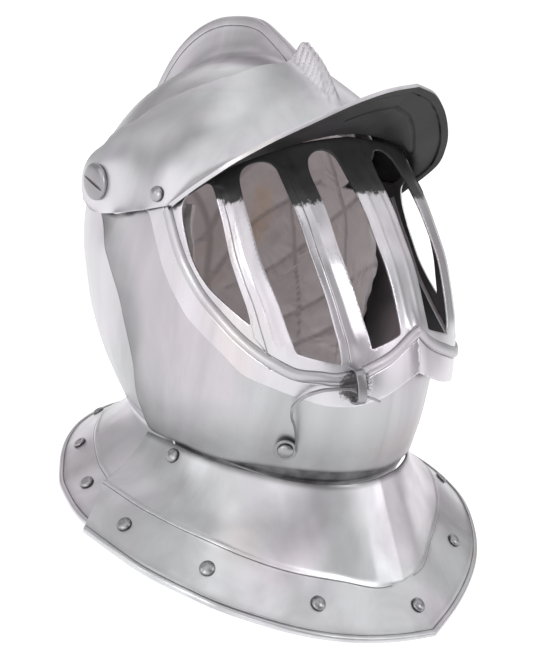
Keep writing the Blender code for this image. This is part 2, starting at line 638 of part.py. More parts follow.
def hook_blade():
    """Blade of the hook, standing on edge, on the wearer's right."""
    path = [np.array([-w, f, z]) for w, f, z in resample(HOOK_PATH, 16)]
    frames = []
    for k, p in enumerate(path):
        along = path[min(k + 1, len(path) - 1)] - path[max(k - 1, 0)]
        along /= np.linalg.norm(along)
        out = np.array([p[0], (p[1] - FACE_CENTRE) * 0.75, 0])
        out -= along * (out @ along)
        out /= np.linalg.norm(out)
        frames.append((out, np.cross(along, out)))
    wide, thick = HOOK_BLADE
    return sweep(path, frames, wide / 2, thick / 2)


def pivot_hole(parent):
    cutter = add("pivot_hole_cutter", lathe([(0, -120), (HOLE_RADIUS, -120), (HOLE_RADIUS, 120),
                                             (0, 120)], 16), parent=parent)
    cutter.matrix_local = Matrix.Rotation(math.pi / 2, 4, "Y")
    return cutter


def rivet(name, place, normal, parent, head=FLANGE_RIVET, sides=9):
    """Domed rivet head, standing on the plate with its play."""
    r, h = head
    obj = add(name, lathe([(0, CLEAR), (r, CLEAR), (r * 0.72, h * 0.78), (0, h)], sides),
              rough=0.25, parent=parent)
    aim(obj, place, normal)
    return obj


def pivot_screw(name, side, parent):
    """Slotted screw through all the plates, with its nut inside the skull."""
    r, h = PIVOT_HEAD
    base = FLAT["fall"] + CLEAR
    nut_top = FLAT["skull"] - SHEET - 2 * CLEAR
    profile = [(0, nut_top - 2.2), (5.6, nut_top - 2.2), (5.6, nut_top), (SHANK_RADIUS, nut_top),
               (SHANK_RADIUS, base), (r, base), (r, base + 1.0), (r * 0.75, base + h * 0.8),
               (0, base + h)]
    obj = add(name, lathe(profile, 14), rough=0.28, parent=parent)
    obj.matrix_local = Matrix.Rotation(side * math.pi / 2, 4, "Y")
    slot = bmesh.new()
    bmesh.ops.create_cube(slot, size=1.0, matrix=Matrix.Translation((0, 0, (base + h) * MM))
                          @ Matrix.Rotation(math.radians(35 * side), 4, "Z")
                          @ Matrix.Diagonal((30 * MM, 2.0 * MM, 3.2 * MM, 1)))
    cutter = add(name + "_slot_cutter", slot, parent=parent)
    cut(obj, cutter)
    cutter.matrix_local = obj.matrix_local.copy()
    return obj


# ---------------------------------------------------------------- the helmet

for old in list(bpy.data.objects):
    bpy.data.objects.remove(old, do_unlink=True)

helmet = bpy.data.objects.new("helmet", None)
bpy.context.scene.collection.objects.link(helmet)
helmet.rotation_euler.x = -REST_TILT
low = RIM_FRONT[1] * math.cos(REST_TILT) + RIM_FRONT[0] * math.sin(REST_TILT)
helmet.location = (0, SEAT_FORWARD * MM, (RIM_TURN - FLOOR_TRIM - low) * MM)

face = Sections(FACE, FACE_CENTRE, FACE_POWER, KEEL)
chin = Sections(CHIN, FACE_CENTRE, CHIN_POWER, layer="bevor")
lame = Sections([(z, w - LAYER, f - LAYER) for z, w, f in CHIN], FACE_CENTRE, CHIN_POWER,
                layer="bevor")
hole = pivot_hole(helmet)

skull = plate("skull", [fan_rows(SKULL_NECK, 17, FAN_SPREAD)], helmet)
cut(skull, hole)

front, ear, peak = fall_rows()
fall = plate("fall", [front, ear, peak], helmet)
cut(fall, hole)

visor = plate("visor", [patch_rows(face, VISOR_UPPER, VISOR_LOWER, 20, 8)], helmet)
cut(visor, add("grille_cutter", window_cutter(face), parent=helmet))
cut(visor, add("bead_form", bead_tube(face), parent=helmet), "UNION")
cut(visor, add("staple_form", staple_strip(face, -1), parent=helmet), "UNION")
cut(visor, hole)

bevor = plate("bevor", [patch_rows(chin, BEVOR_UPPER, BEVOR_LOWER, 17, 7, bias=1.45)], helmet)
cut(bevor, hole)
plate("neck_lame", [patch_rows(lame, LAME_UPPER, LAME_LOWER, 12, 3)], helmet, 1.0)

front_neck = [chin.point(chin.angle(f, z), z, 0.6) for f, z in FRONT_NECK]
rear_neck = [(Skull.half_width(f, z, 3.8), f, z) for f, z in REAR_NECK]
rear_neck.append((0, Skull.back_below(-133.5) + 3.8, -133.5))
collar = {"front": collar_rows(front_neck, FRONT_STEP, FRONT_RIM, 12),
          "rear": collar_rows(rear_neck, REAR_STEP, REAR_RIM, 11, REAR_TUCK)}
level = bmesh.new()
wide, deep = FLOOR_BLOCK
bmesh.ops.create_cube(level, size=1.0, matrix=Matrix.Translation((0, 0, -deep * MM / 2))
                      @ Matrix.Diagonal((wide * MM, wide * MM, deep * MM, 1)))
level = add("floor_cutter", level, parent=helmet)
for name, rows in collar.items():
    cut(plate("collar_" + name, [rows], helmet), level)
level.matrix_local = helmet.matrix_basis.inverted()

plate("liner", [fan_rows(LINER_EDGE, 12, FAN_SPREAD[1::2], LINER_INSET, LINER_SIDE)], helmet, LINER_THICK,
      LINEN, 0.95, 0.0)

# Rivets of the border, the studs at the neck, the rivets of the brow, the screws.
for side, sign in (("left", 1), ("right", -1)):
    m = np.array([sign, 1, 1])
    for name, places in (("front", FRONT_RIVET_F), ("rear", REAR_RIVET_F)):
        for n, f in enumerate(places, 1):
            place, normal = seat(collar[name], f, 4, 6)
            rivet(f"{name}_rivet_{n}_{side}", place * m, normal * m, helmet)
    place, normal = seat(collar["front"], NECK_STUD_F, 0, 1)
    rivet("neck_stud_" + side, place * m, normal * m, helmet)
    place, normal = on_rows(ear, *BROW_RIVET)
    rivet("brow_rivet_" + side, place * m, normal * m, helmet)
    pivot_screw("pivot_screw_" + side, sign, helmet)
place, normal = seat(collar["front"], collar["front"][0][5][1], 4, 6)
rivet("front_rivet_centre", place, normal * np.array([0, 1, 1]), helmet)

# Hook on the wearer's right, turning on its own rivet.
near = np.array([-1, 1, 1])
place = chin.point(*HOOK_RIVET)
normal = np.cross(chin.point(HOOK_RIVET[0] + 3, HOOK_RIVET[1]) - place,
                  chin.point(HOOK_RIVET[0], HOOK_RIVET[1] + 3) - place)
normal *= (1 if normal[0] > 0 else -1) / np.linalg.norm(normal)
ahead = np.array([-normal[1], normal[0], 0]) / np.hypot(normal[0], normal[1])
upward = np.cross(normal, ahead)
upward *= 1 if upward[2] > 0 else -1
normal = normal + ahead * math.tan(math.radians(HOOK_LEAN[0])) - upward * math.tan(
    math.radians(HOOK_LEAN[1]))
normal /= np.linalg.norm(normal)
r_out, r_in, thick = HOOK_EYE
hook = add("hook", hook_blade(), rough=0.3, parent=helmet)
hook.data.transform(Matrix.Translation(-world(place * near)))
hook.location = world(place * near)
top = HOOK_STANDS + thick
eye = add("hook_eye_form", lathe([(r_in, HOOK_STANDS), (r_out, HOOK_STANDS), (r_out, top),
                                  (r_in, top), (r_in, HOOK_STANDS)], 16), parent=helmet)
aim(eye, place * near, normal * near)
cut(hook, eye, "UNION")
head = top + CLEAR
pin = add("hook_rivet", lathe([(0, PIN_FOOT), (r_in - 0.5, PIN_FOOT), (r_in - 0.5, head), (3.9, head),
                               (3.6, head + 1.4), (2.3, head + 2.3), (0, head + 2.7)], 12),
          rough=0.25, parent=helmet)
aim(pin, place * near, normal * near)
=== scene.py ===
"""Looks of the closed burgonet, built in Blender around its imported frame.

Every plate is drawn again from the helmet's own sections at a fine pitch, in
millimetres about the pivot of its face plates: x to the wearer's left, f
forward, z up. row() lays those points back on the collar as the frame has it.
"""
import json
import math
from contextlib import contextmanager

import bmesh
import bpy
import numpy as np
from mathutils import Matrix, Vector, geometry


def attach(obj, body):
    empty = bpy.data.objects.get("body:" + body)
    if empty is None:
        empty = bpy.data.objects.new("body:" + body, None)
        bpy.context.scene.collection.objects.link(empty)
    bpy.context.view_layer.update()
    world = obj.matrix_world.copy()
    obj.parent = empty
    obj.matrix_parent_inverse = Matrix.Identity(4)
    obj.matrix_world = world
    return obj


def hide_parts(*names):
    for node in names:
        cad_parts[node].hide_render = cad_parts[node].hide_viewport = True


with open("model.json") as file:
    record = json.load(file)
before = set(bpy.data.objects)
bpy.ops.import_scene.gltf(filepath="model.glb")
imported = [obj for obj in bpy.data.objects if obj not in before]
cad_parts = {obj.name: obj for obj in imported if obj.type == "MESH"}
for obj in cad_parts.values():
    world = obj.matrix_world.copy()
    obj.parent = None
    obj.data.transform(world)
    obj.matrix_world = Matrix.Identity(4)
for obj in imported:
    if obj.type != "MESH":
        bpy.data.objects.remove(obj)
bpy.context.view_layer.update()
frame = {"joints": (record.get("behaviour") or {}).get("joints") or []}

MM = 0.001
REST_TILT = math.radians(24.37)
PIVOT = Vector(next(j["pos_m"] for j in frame["joints"] if j["name"] == "bevor_hinge"))
LAY_BACK = Matrix.Translation(PIVOT) @ Matrix.Rotation(-REST_TILT, 4, "X")
SHEET, LAYER = 1.2, 2.2
EAR_RISE, EAR_REACH = 5.8, 38.0
RIM_FRONT = (150.0, -275.0)
FLOOR_SLOPE = math.tan(REST_TILT)
MIRROR = np.array([-1, 1, 1])        # left half to right half

BOWL_F, BOWL_Z = 23.5, -43.0
BOWL_HALF_WIDTH, BOWL_BACK, BOWL_RISE = 97.0, 117.5, 115.0
BOWL_CENTRE = np.array([0, BOWL_F, BOWL_Z])
BOWL_AXES = np.array([BOWL_HALF_WIDTH, BOWL_BACK, BOWL_RISE])
# Level sections of the skull: height, half width, front reach, back reach.
SKULL_BELOW = [
    (-165, 74.0, 108, -61.0), (-150, 77.0, 112, -69.0), (-140, 79.2, 116, -74.5),
    (-120, 84.0, 128, -85.5), (-100, 89.2, 136, -92.5), (-70, 94.8, 134, -96.0),
    (-43, 97.0, 128, -94.0)]
SKULL_FRONT = [
    (-43, 128), (-20, 119), (0, 111), (10, 109), (20, 107), (30, 104), (40, 98),
    (50, 88), (60, 73), (68, 52), (72, 23.5)]
# Edge of the comb seen from the side: f and z; then across it: half width, share of height.
COMB_EDGE = [
    (97, 40), (90, 52), (80, 66), (68, 78.5), (54, 90.5), (33, 97.5), (14, 99.5),
    (-4, 97), (-26, 88), (-48, 71), (-66, 49), (-80, 24), (-89, -4), (-94, -32),
    (-95.5, -56), (-94, -78)]
COMB_SIDE = [(0.0, 1.0), (1.6, 0.995), (3.0, 0.96), (4.0, 0.62), (5.2, 0.34), (8.0, 0.13),
             (12.5, 0.03), (18.0, 0.0)]
COMB_POINTS, COMB_STRETCH = 44, 25
COMB_BORDER, COMB_LOW = 6.0, 9.0     # engraved line of the comb; where lower it has none
SKULL_NECK = [(-80.2, -131), (-67, -133), (-54, -135), (-38, -138), (-15, -145.5),
              (3, -151), (22, -155), (40, -159)]
FAN = (38.0, -12.0)
BROW_ANGLE = 24.9
# Round the pivot every plate is flat, this far from the middle plane.
FLAT = dict(skull=86.8, bevor=89.6, visor=92.4, fall=95.4)
FLAT_RADII = dict(skull=(12, 50), bevor=(13, 44), visor=(13, 40), fall=(14, 36))
FLAT_FADE = 9.0

# Level sections of the face plates: height, half width and front reach.
FACE = [
    (-160, 79.2, 143.2), (-150, 81.5, 147.0), (-140, 84.0, 149.5), (-125, 88.0, 151.7),
    (-113, 91.2, 152.4), (-101, 93.6, 152.8), (-90, 95.6, 151.5), (-78, 97.2, 149.6),
    (-63, 100.2, 146.0), (-49, 101.6, 141.0), (-35, 101.2, 136.0), (-20, 100.6, 129.0),
    (-10, 98.8, 123.5), (4, 94.6, 117.2), (10, 92.3, 115.4), (16, 89.7, 113.2),
    (24, 85.5, 109.0)]
CHIN = [
    (-205, 73.0, 107.0), (-190, 73.6, 116.0), (-184, 74.0, 121.0), (-177, 74.8, 125.5),
    (-170, 76.5, 128.8), (-160, 78.2, 133.7), (-150, 80.2, 137.5), (-140, 82.4, 140.5),
    (-130, 85.2, 143.0), (-113, 89.6, 145.5), (-101, 92.2, 146.0), (-78, 96.8, 141.0),
    (-49, 99.7, 131.5), (-20, 98.1, 121.5), (-10, 95.9, 117.5), (4, 91.4, 114.0),
    (10, 89.1, 112.5), (16, 86.6, 111.0), (24, 82.8, 109.0)]
FACE_CENTRE, FACE_BACK = 23.5, -92.0
FACE_POWER = [(-160, 2.8), (24, 2.8)]
CHIN_POWER = [(-190, 2.1), (-130, 2.2), (-100, 2.35), (-60, 2.5), (24, 2.6)]
KEEL = [(-150, 2.0), (-125, 2.2), (-113, 2.6), (-101, 2.6), (-88, 0.4), (-78, 0.0), (24, 0.0)]
KEEL_HALF_WIDTH = 15.0

# Outlines of the face plates seen from the side, from the front line backwards.
VISOR_LOWER = [
    (None, -124.2), (150.5, -131), (149.2, -133.5), (146.4, -135.3), (142.8, -136.3),
    (134.8, -134.3), (125.8, -129.4), (114.1, -122.7), (98.7, -114), (89, -102.1), (77, -89),
    (69.9, -80.5), (61.4, -56.8), (56.7, -38.1), (51, -21), (22, -17.5), (0, -16.5), (-13, -9)]
VISOR_UPPER = [
    (None, 12), (114, 9), (110, 5.5), (105, 2.5), (95.5, -2), (84, -7.5), (72, -12), (60, -10),
    (47, -1), (34, 7), (24, 10), (14, 11.5), (4, 12), (-5, 11), (-13, 2)]
BEVOR_LOWER = [
    (None, -181.5), (118.6, -178.5), (111.4, -175.8), (85.4, -169.3), (61.5, -165.9),
    (31.3, -157.9), (4.5, -149.7), (2.6, -133.6), (10.9, -107), (14.2, -71.9), (9.8, -48.9),
    (-4, -22), (-11, -10)]
BEVOR_UPPER = [
    (None, -117), (138, -121), (126, -119), (110, -111), (97, -98), (83, -84), (73, -68),
    (66, -50), (61, -20), (48, -4), (32, 5.5), (18, 9.5), (4, 10.5), (-10, 5)]
# Openings of the grille: plan angle and height round each outline, and its sharp corners.
WINDOWS = {
    "front": [(16.2, -4.5), (13.5, 2.0), (8.8, 4.6), (5.2, 2.4), (3.7, -3), (3.2, -25),
              (3.0, -51), (3.0, -76), (3.2, -101.5), (14.6, -107), (16.6, -71.6),
              (16.4, -45.5), (15.9, -22.7)],
    "middle": [(43.6, -8), (41.5, -3.6), (37.5, -1.2), (33, -0.8), (29.6, -2.3), (27.8, -6.5),
               (27.3, -22.4), (27.0, -46), (27.3, -69), (26.8, -96.4), (26.2, -113),
               (42.4, -104.3), (44.0, -78.7), (45.0, -54.6), (44.8, -29.8), (44.2, -16)],
    "side": [(67.6, -17.4), (60.1, -12.1), (56.2, -9.6), (54.4, -12.5), (54.4, -25),
             (55.0, -45.3), (55.2, -65.4), (54.9, -88.4), (61.9, -75.4), (66.3, -64.2),
             (68.4, -50), (69.2, -31.2)],
}
SHARP_CORNERS = {"front": (8, 9), "middle": (10, 11), "side": (7,)}
BARS = [("middle", "front"), ("side", "middle")]     # the window behind and before each bar
BEAD_LINE = [
    (None, -100.5), (151.8, -111.8), (149, -116.6), (146.4, -118.7), (140.9, -119.9),
    (134.7, -117.8), (127.2, -115.8), (117.5, -108.9), (106.6, -99), (95.6, -86.2), (85.8, -72.4),
    (77.9, -55.8), (71.6, -39.1), (67, -22)]
BEAD_WIDE, BEAD_SQUEEZE = 3.0, 0.6    # half width of the bead, and how flat it is

# Fall: half width, f and z along its edges; its twisted crest, by height and across.
FALL_REAR = [(0, 80.5, 55.5), (10, 79.5, 55), (24, 75, 53.5), (40, 69.5, 49.5),
             (55, 55, 45.5), (66, 33, 39)]
FALL_ROOT = [(0, 118, 12), (14, 117.6, 11.3), (32, 116.6, 9), (50, 113.4, 5.5), (64, 108.5, 2),
             (79, 99.8, -3), (91.5, 86, -10.5), (100, 68.5, -20)]
EAR_REAR = [(66, 33, 39), (74, 16, 31), (83, 3, 20.5), (89, -8, 17.5), (92.6, -16.5, 9.5),
            (95.4, -19, 0)]
EAR_FOOT = [(100, 68.5, -20), (103.8, 48, -20.5), (103.4, 24, -20), (98.4, 4, -19),
            (95.8, -9, -16), (95.4, -16, -9)]
PEAK_EDGE = [(0, 167, 33), (18, 163.5, 30.5), (36, 156, 25.5), (58, 143, 16.5),
             (79, 126, 6.5), (93, 108, -3.5), (98, 88, -12)]
CREST = [(25.0, 0.0), (33, 1.2), (40, 5.2), (46, 8.6), (52, 11.2), (60, 13.2)]
ROPE_SIDE = [(0.0, 1.0), (2.6, 0.95), (4.6, 0.72), (6.0, 0.42), (7.6, 0.18), (10, 0.07),
             (13, 0.02), (18.0, 0.0)]
ROPE_PITCH = 4.1
FOLD = 7.0                           # half length of the bend between wall and peak
HEM, HEM_THICK = 5.5, 2.2            # the edge of the peak is turned back this far and thick
STEP_IN, STEP_MORE, STEP_WIDE = 19.0, 6.0, 2.4   # inner line of the peak: in from its edge; width
STEP_SIDE = {1: 84, -1: 30}          # how far that line goes to each side
PEAK_SAG, PEAK_HALF_WIDTH = 1.8, 98
WALL_ROWS, PEAK_ROWS, WALL_COLUMNS, EAR_COLUMNS = 90, 60, 44, 60

# Collar curves: half width, f and z, from the point backwards.
FRONT_NECK = [(None, -188), (116.5, -187.5), (111, -185), (97, -179.5), (80, -173.5),
              (62, -168.5), (36, -161), (4, -153)]
FRONT_STEP = [(0, 130, -248), (18, 128.5, -246), (41, 119.5, -237), (73, 104, -223),
              (95, 81, -207.5), (104, 51, -197), (108, 20, -187), (108.5, -6, -178.5)]
FRONT_RIM = [(0, 150, -275), (22, 146, -271), (46, 140, -265), (72, 130, -256),
             (93, 116, -246), (117, 88, -230), (130.5, 46, -213), (133, 6, -199)]
REAR_NECK = [(20, -156.8), (4, -153.2), (-14, -147.6), (-38, -140.2), (-54, -137.2),
             (-66, -135.2), (-74, -134)]
REAR_TUCK = 4.0
REAR_STEP = [(103, 18, -189), (102.5, -1, -182.5), (98.5, -20, -174), (89.5, -38, -166),
             (74, -60, -157.5), (44, -86, -149.5), (0, -98, -146)]
REAR_RIM = [(126, 16, -205), (126, -2, -197.5), (118, -36, -183.5), (104, -58, -174.5),
            (80, -86, -165), (52, -107, None), (26, -115.5, None), (0, -118.5, None)]
FRONT_RIVET_F = (121.5, 82.0, 27.0)
REAR_RIVET_F = (-22.0, -62.0, -97.0)
NECK_STUD_F = 30.0
BROW_RIVET = (62.5, -13.0)

LAME_UPPER = [(None, -172), (114, -170.5), (98, -166), (80, -162), (62, -158), (25, -148.4)]
LAME_LOWER = [(None, -197), (104, -195), (92, -190), (78, -184), (61, -177), (25, -166.4)]
LINER_INSET, LINER_THICK = 6.5, 4.5
LINER_SHEET, LINER_ROUND = 3.2, 1.2      # thickness of the drawn sheet, and its rounded edge
PUFF, RIPPLE, SUNK = 2.6, 5.0, 1.6       # of the padded fields; how deep their seams lie
LINER_EDGE = [(-76, -122), (-68, -126), (-54, -130), (-38, -133), (-15, -139), (3, -144),
              (22, -146), (36, -141), (43, -117), (52, -90), (62, -53), (62, -20)]

# Points along and across the half grid of each plate.
GRID = dict(skull=(150, 46), bevor=(150, 90), lame=(90, 50), liner=(126, 92),
            collar_front=130, collar_rear=120)
VISOR_POINTS, BEAD_POINTS, BEAD_SIDES = 190, 150, 24
FAR_OFF = 99.0                       # distance to a line where there is none near


# ---------------------------------------------------------------- curves

def curve(rows):
    """Monotone cubic through (key, value) rows, for one key or an array of them."""
    x, y = np.array(sorted(rows), float).T
    h, d = np.diff(x), np.diff(y) / np.diff(x)
    m = np.zeros(len(x))
    m[0], m[-1] = d[0], d[-1]
    for i in range(1, len(x) - 1):
        if d[i - 1] * d[i] > 0:
            w = 2 * h[i] + h[i - 1], h[i] + 2 * h[i - 1]
            m[i] = sum(w) / (w[0] / d[i - 1] + w[1] / d[i])

    def value(key):
        k = np.clip(key, x[0], x[-1])
        i = np.clip(np.searchsorted(x, k, side="right") - 1, 0, len(x) - 2)
        t = (k - x[i]) / h[i]
        return ((2 * t**3 - 3 * t**2 + 1) * y[i] + (t**3 - 2 * t**2 + t) * h[i] * m[i]
                + (3 * t**2 - 2 * t**3) * y[i + 1] + (t**3 - t**2) * h[i] * m[i + 1])
    return value


def arc_length(points):
    """Length along a line of points up to each of them."""
    return np.concatenate([[0], np.cumsum(np.linalg.norm(np.diff(points, axis=0), axis=1))])


def resample(points, n):
    """n points evenly spaced along the smooth curve through the given points."""
    pts = np.array(points, float)
    s = arc_length(pts)
    keys = np.linspace(0, s[-1], n)
    return np.stack([curve(list(zip(s, pts[:, k])))(keys) for k in range(pts.shape[1])], axis=1)


def smoothstep(t):
    t = np.clip(t, 0.0, 1.0)
    return t * t * (3 - 2 * t)


def unit(v):
    return v / np.maximum(np.linalg.norm(v, axis=-1, keepdims=True), 1e-9)

def facing(v, axis=0):
    """The vector, turned to point up one of the axes."""
    return v if v[axis] > 0 else -v


def square_to(v, along):
    """Unit vector of the part of v that is square to a direction."""
    return unit(v - along * (v @ along))


def directions(path):
    """Direction of a path at each of its points."""
    last = len(path) - 1
    return [unit(path[min(k + 1, last)] - path[max(k - 1, 0)]) for k in range(last + 1)]


# ---------------------------------------------------------------- surfaces

def flatten(x, f, z, layer):
    """Pull x to the flat of its layer near the pivot."""
    near, far = FLAT_RADII[layer]
    far = np.where(x > FLAT[layer], far, near + FLAT_FADE)
    return x + (FLAT[layer] - x) * smoothstep((far - np.hypot(f, z)) / (far - near))


class Sections:
    """A shell described by its level sections: superellipses about one centre."""

    def __init__(self, rows, power, keel=None, layer="visor"):
        self.width = curve([(r[0], r[1]) for r in rows])
        self.front = curve([(r[0], r[2]) for r in rows])
        self.power, self.layer = curve(power), layer
        self.keel = curve(keel) if keel else lambda z: np.zeros_like(z)

    def angle(self, f, z):
        """Plan angle of the point of the shell at f and z; 0 is the front line."""
        reach = np.where(f > FACE_CENTRE, self.front(z) - FACE_CENTRE, FACE_CENTRE - FACE_BACK)
        share = np.minimum(np.abs(f - FACE_CENTRE) / reach, 1.0) ** (self.power(z) / 2)
        a = np.degrees(np.arccos(share))
        return np.where(f > FACE_CENTRE, a, 180.0 - a)

    def point(self, angle, z, offset=0.0):
        """Points of the shell; a negative angle is on the wearer's right."""
        angle, z = np.broadcast_arrays(np.asarray(angle, float), np.asarray(z, float))
        a = np.radians(np.abs(angle))
        c, s, e = np.cos(a), np.sin(a), 2 / self.power(z)
        reach = np.where(c > 0, self.front(z) - FACE_CENTRE, FACE_CENTRE - FACE_BACK)
        x = (self.width(z) + offset) * np.abs(s) ** e
        f = FACE_CENTRE + np.copysign((reach + offset) * np.abs(c) ** e, c)
        f = f + np.where(c > 0, self.keel(z) * np.maximum(0.0, 1 - x / KEEL_HALF_WIDTH) ** 2, 0)
        x = flatten(x, f, z, self.layer) * np.where(angle < 0, -1.0, 1.0)
        return np.stack([x, f, z], axis=-1)


SKULL_WIDTH, SKULL_REACH, SKULL_BACK = (
    curve([(r[0], r[k]) for r in SKULL_BELOW]) for k in (1, 2, 3))
SKULL_BROW = curve(SKULL_FRONT)


def skull_half_width(f, z, inset=0.0):
    """Half width of the skull at f and z, inset by so many millimetres."""
    rise = np.where(z > BOWL_Z, (z - BOWL_Z) * BOWL_RISE / (BOWL_RISE - inset) + BOWL_Z, z)
    share = np.sqrt(np.maximum(0.0, 1 - ((rise - BOWL_Z) / BOWL_RISE) ** 2))
    above = z > BOWL_Z
    w = np.where(above, BOWL_HALF_WIDTH * share, SKULL_WIDTH(z))
    front = np.where(above, SKULL_BROW(rise), SKULL_REACH(z))
    back = np.where(above, BOWL_F - BOWL_BACK * share, SKULL_BACK(z))
    reach = np.where(f > BOWL_F, front - BOWL_F, BOWL_F - back) - inset
    d = (f - BOWL_F) / np.maximum(reach, 1e-6)
    x = np.maximum(w - inset, 0) * np.sqrt(np.maximum(0.0, 1 - d * d))
    x = flatten(x + inset, f, z, "skull") - inset
    return np.where(above & (rise >= BOWL_Z + BOWL_RISE), 0.0, x)


def outermost(test, low, high):
    """Largest radius for which test(radius) still holds, by halving."""
    low, high = np.array(low, float), np.array(high, float)
    for _ in range(36):
        mid = (low + high) / 2
        inside = test(mid)
        low, high = np.where(inside, mid, low), np.where(inside, high, mid)
    return low


def polar(points):
    """(angle, radius) rows about the fan centre, angles rising from the brow."""
    return [(math.degrees(math.atan2(z - FAN[1], f - FAN[0])) % 360,
             math.hypot(z - FAN[1], f - FAN[0])) for f, z in points]


def fan_grid(edge, stations, down, comb=True, inset=0.0):
    """Half the skull as rows from its middle line inwards to the fan centre.

    Returns the points and, for each, its depth below the edge of the comb."""
    comb_edge = curve(polar(COMB_EDGE))
    comb_span = [polar(COMB_EDGE)[i][0] for i in (0, -1)]
    foot = resample(edge, 400)
    foot_polar = curve(polar(foot))
    nape, last = polar(edge)[0][0], polar(edge)[-1][0]
    angles = np.concatenate([np.linspace(BROW_ANGLE, nape, stations),
                             np.linspace(nape, last, stations // 2)[1:]])
    profile = np.array(COMB_SIDE) * (1, COMB_STRETCH)
    across = (resample(profile, COMB_POINTS) / (1, COMB_STRETCH) if comb
              else resample([(0, 0), (COMB_SIDE[-1][0], 0)], 16))
    shares = np.linspace(1, 0, down)[1:] ** 0.8
    grid, depth = [], []
    for angle in angles:
        c, s = math.cos(math.radians(angle)), math.sin(math.radians(angle))
        wide = lambda r: skull_half_width(FAN[0] + r * c, FAN[1] + r * s, inset)
        if angle <= nape + 1e-6:
            end = outermost(lambda r: wide(r) > 1e-3, 0.0, 220.0)
            tall = 0.0
            if comb:
                span = min(angle - comb_span[0], comb_span[1] - angle)
                tall = max(0.0, float(comb_edge(angle)) - end) * smoothstep(span / 3.0)
            x = across[:, 0].copy()
            r = outermost(lambda q: wide(q) > x, np.full(len(x), end * 0.5), np.full(len(x), end))
            top = end + tall
            r = r + tall * across[:, 1]
        else:
            end = top = float(foot_polar(angle))
            r = end - across[:, 0]
            x = wide(r)
        inner = r[-1] * shares
        r, x = np.concatenate([r, inner]), np.concatenate([x, wide(inner)])
        grid.append(np.stack([x, FAN[0] + r * c, FAN[1] + r * s], axis=1))
        depth.append(top - r)
    return np.array(grid), np.array(depth)


def outline(shell, table, n):
    """n (plan angle, height) pairs along an outline given as f and z."""
    f = np.array([1e3 if r[0] is None else r[0] for r in table], float)
    z = np.array([r[1] for r in table], float)
    a = shell.angle(f, z)
    a[[r[0] is None for r in table]] = 0.0
    p = resample(shell.point(a, z), n)
    share = p[:, 0] / shell.width(p[:, 2])
    blunt = (p[:, 1] > FACE_CENTRE) & (share < 0.7)
    side = np.degrees(np.arcsin(np.clip(share, 0, 1) ** (shell.power(p[:, 2]) / 2)))
    a = np.where(blunt, side, shell.angle(p[:, 1], p[:, 2]))
    a[0] = 0.0
    return np.stack([a, p[:, 2]], axis=1)


def patch_grid(shell, upper, lower, across, down, bias=1.0):
    """Half a face plate between its upper and lower outline."""
    top, foot = outline(shell, upper, across), outline(shell, lower, across)
    t = np.linspace(0, 1, down)[None, :, None] ** bias
    key = top[:, None, :] + (foot - top)[:, None, :] * t
    return shell.point(key[..., 0], key[..., 1])


def signed_outline(shell, table, n):
    """Outline of a face plate over both sides, from right to left."""
    half = outline(shell, table, n)
    return np.concatenate([half[:0:-1] * (-1, 1), half])


# ---------------------------------------------------------------- meshes

HUB = (0, -20, -40)                  # the faces of most plates turn away from this point


def row(points):
    """Points of the helmet in the row frame, in metres."""
    p = np.atleast_2d(np.asarray(points, float)) * MM
    lay = np.array(LAY_BACK)
    return (p * (1, -1, 1)) @ lay[:3, :3].T + lay[:3, 3]


def add_object(name, data):
    obj = bpy.data.objects.new(name, data)
    bpy.context.scene.collection.objects.link(obj)
    return obj


def new_piece(name, verts, faces, body, material, nodes=(), fields=None):
    """A mesh piece on a body of the frame; fields are named values, one per vertex."""
    mesh = bpy.data.meshes.new(name)
    mesh.from_pydata([tuple(v) for v in row(verts)], [], [tuple(f) for f in faces])
    for key, values in (fields or {}).items():
        layer = mesh.attributes.new(key, "FLOAT", "POINT")
        layer.data.foreach_set("value", np.asarray(values, np.float32))
    mesh.validate()
    obj = add_object(name, mesh)
    mesh.materials.append(material)
    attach(obj, body)
    if nodes:
        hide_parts(*nodes)
    return obj


@contextmanager
def editing(obj):
    """The mesh of an object as a bmesh, written back afterwards."""
    bm = bmesh.new()
    bm.from_mesh(obj.data)
    yield bm
    bm.to_mesh(obj.data)
    bm.free()


def tidy(obj, merge=2e-5, sharp=40.0):
    with editing(obj) as bm:
        bmesh.ops.remove_doubles(bm, verts=bm.verts, dist=merge)
        bmesh.ops.dissolve_degenerate(bm, edges=bm.edges, dist=1e-6)
    obj.data.shade_smooth()
    obj.data.set_sharp_from_angle(angle=math.radians(sharp))


def face_out(obj, hub=HUB):
    """Turn the faces of an open plate away from the middle of the helmet."""
    centre = Vector(row(hub)[0])
    with editing(obj) as bm:
        total = sum(f.normal.dot(f.calc_center_median() - centre) * f.calc_area()
                    for f in bm.faces)
        if total < 0:
            bmesh.ops.reverse_faces(bm, faces=bm.faces)


def normals_out(obj):
    """Turn the faces of a closed piece outwards."""
    with editing(obj) as bm:
        bmesh.ops.recalc_face_normals(bm, faces=bm.faces)


def soften(obj, width, segments, angle):
    """Bevel the edges of a piece that are sharper than an angle."""
    bevel = obj.modifiers.new("edges", "BEVEL")
    bevel.width, bevel.segments, bevel.limit_method = width * MM, segments, "ANGLE"
    bevel.angle_limit = math.radians(angle)


def thicken(obj, thickness=SHEET, edge=0.22):
    solid = obj.modifiers.new("sheet", "SOLIDIFY")
    solid.thickness, solid.offset, solid.use_even_offset = thickness * MM, -1, True
    soften(obj, edge, 2, 60)


def line_inside(obj, material):
    """Give the inner side of a thickened plate a material of its own."""
    obj.data.materials.append(material)
    obj.modifiers["sheet"].material_offset = 1


def grid_faces(rows, columns, first=0):
    return [(a, a + 1, a + columns + 1, a + columns)
            for i in range(rows - 1) for a in range(first + i * columns,
                                                    first + (i + 1) * columns - 1)]


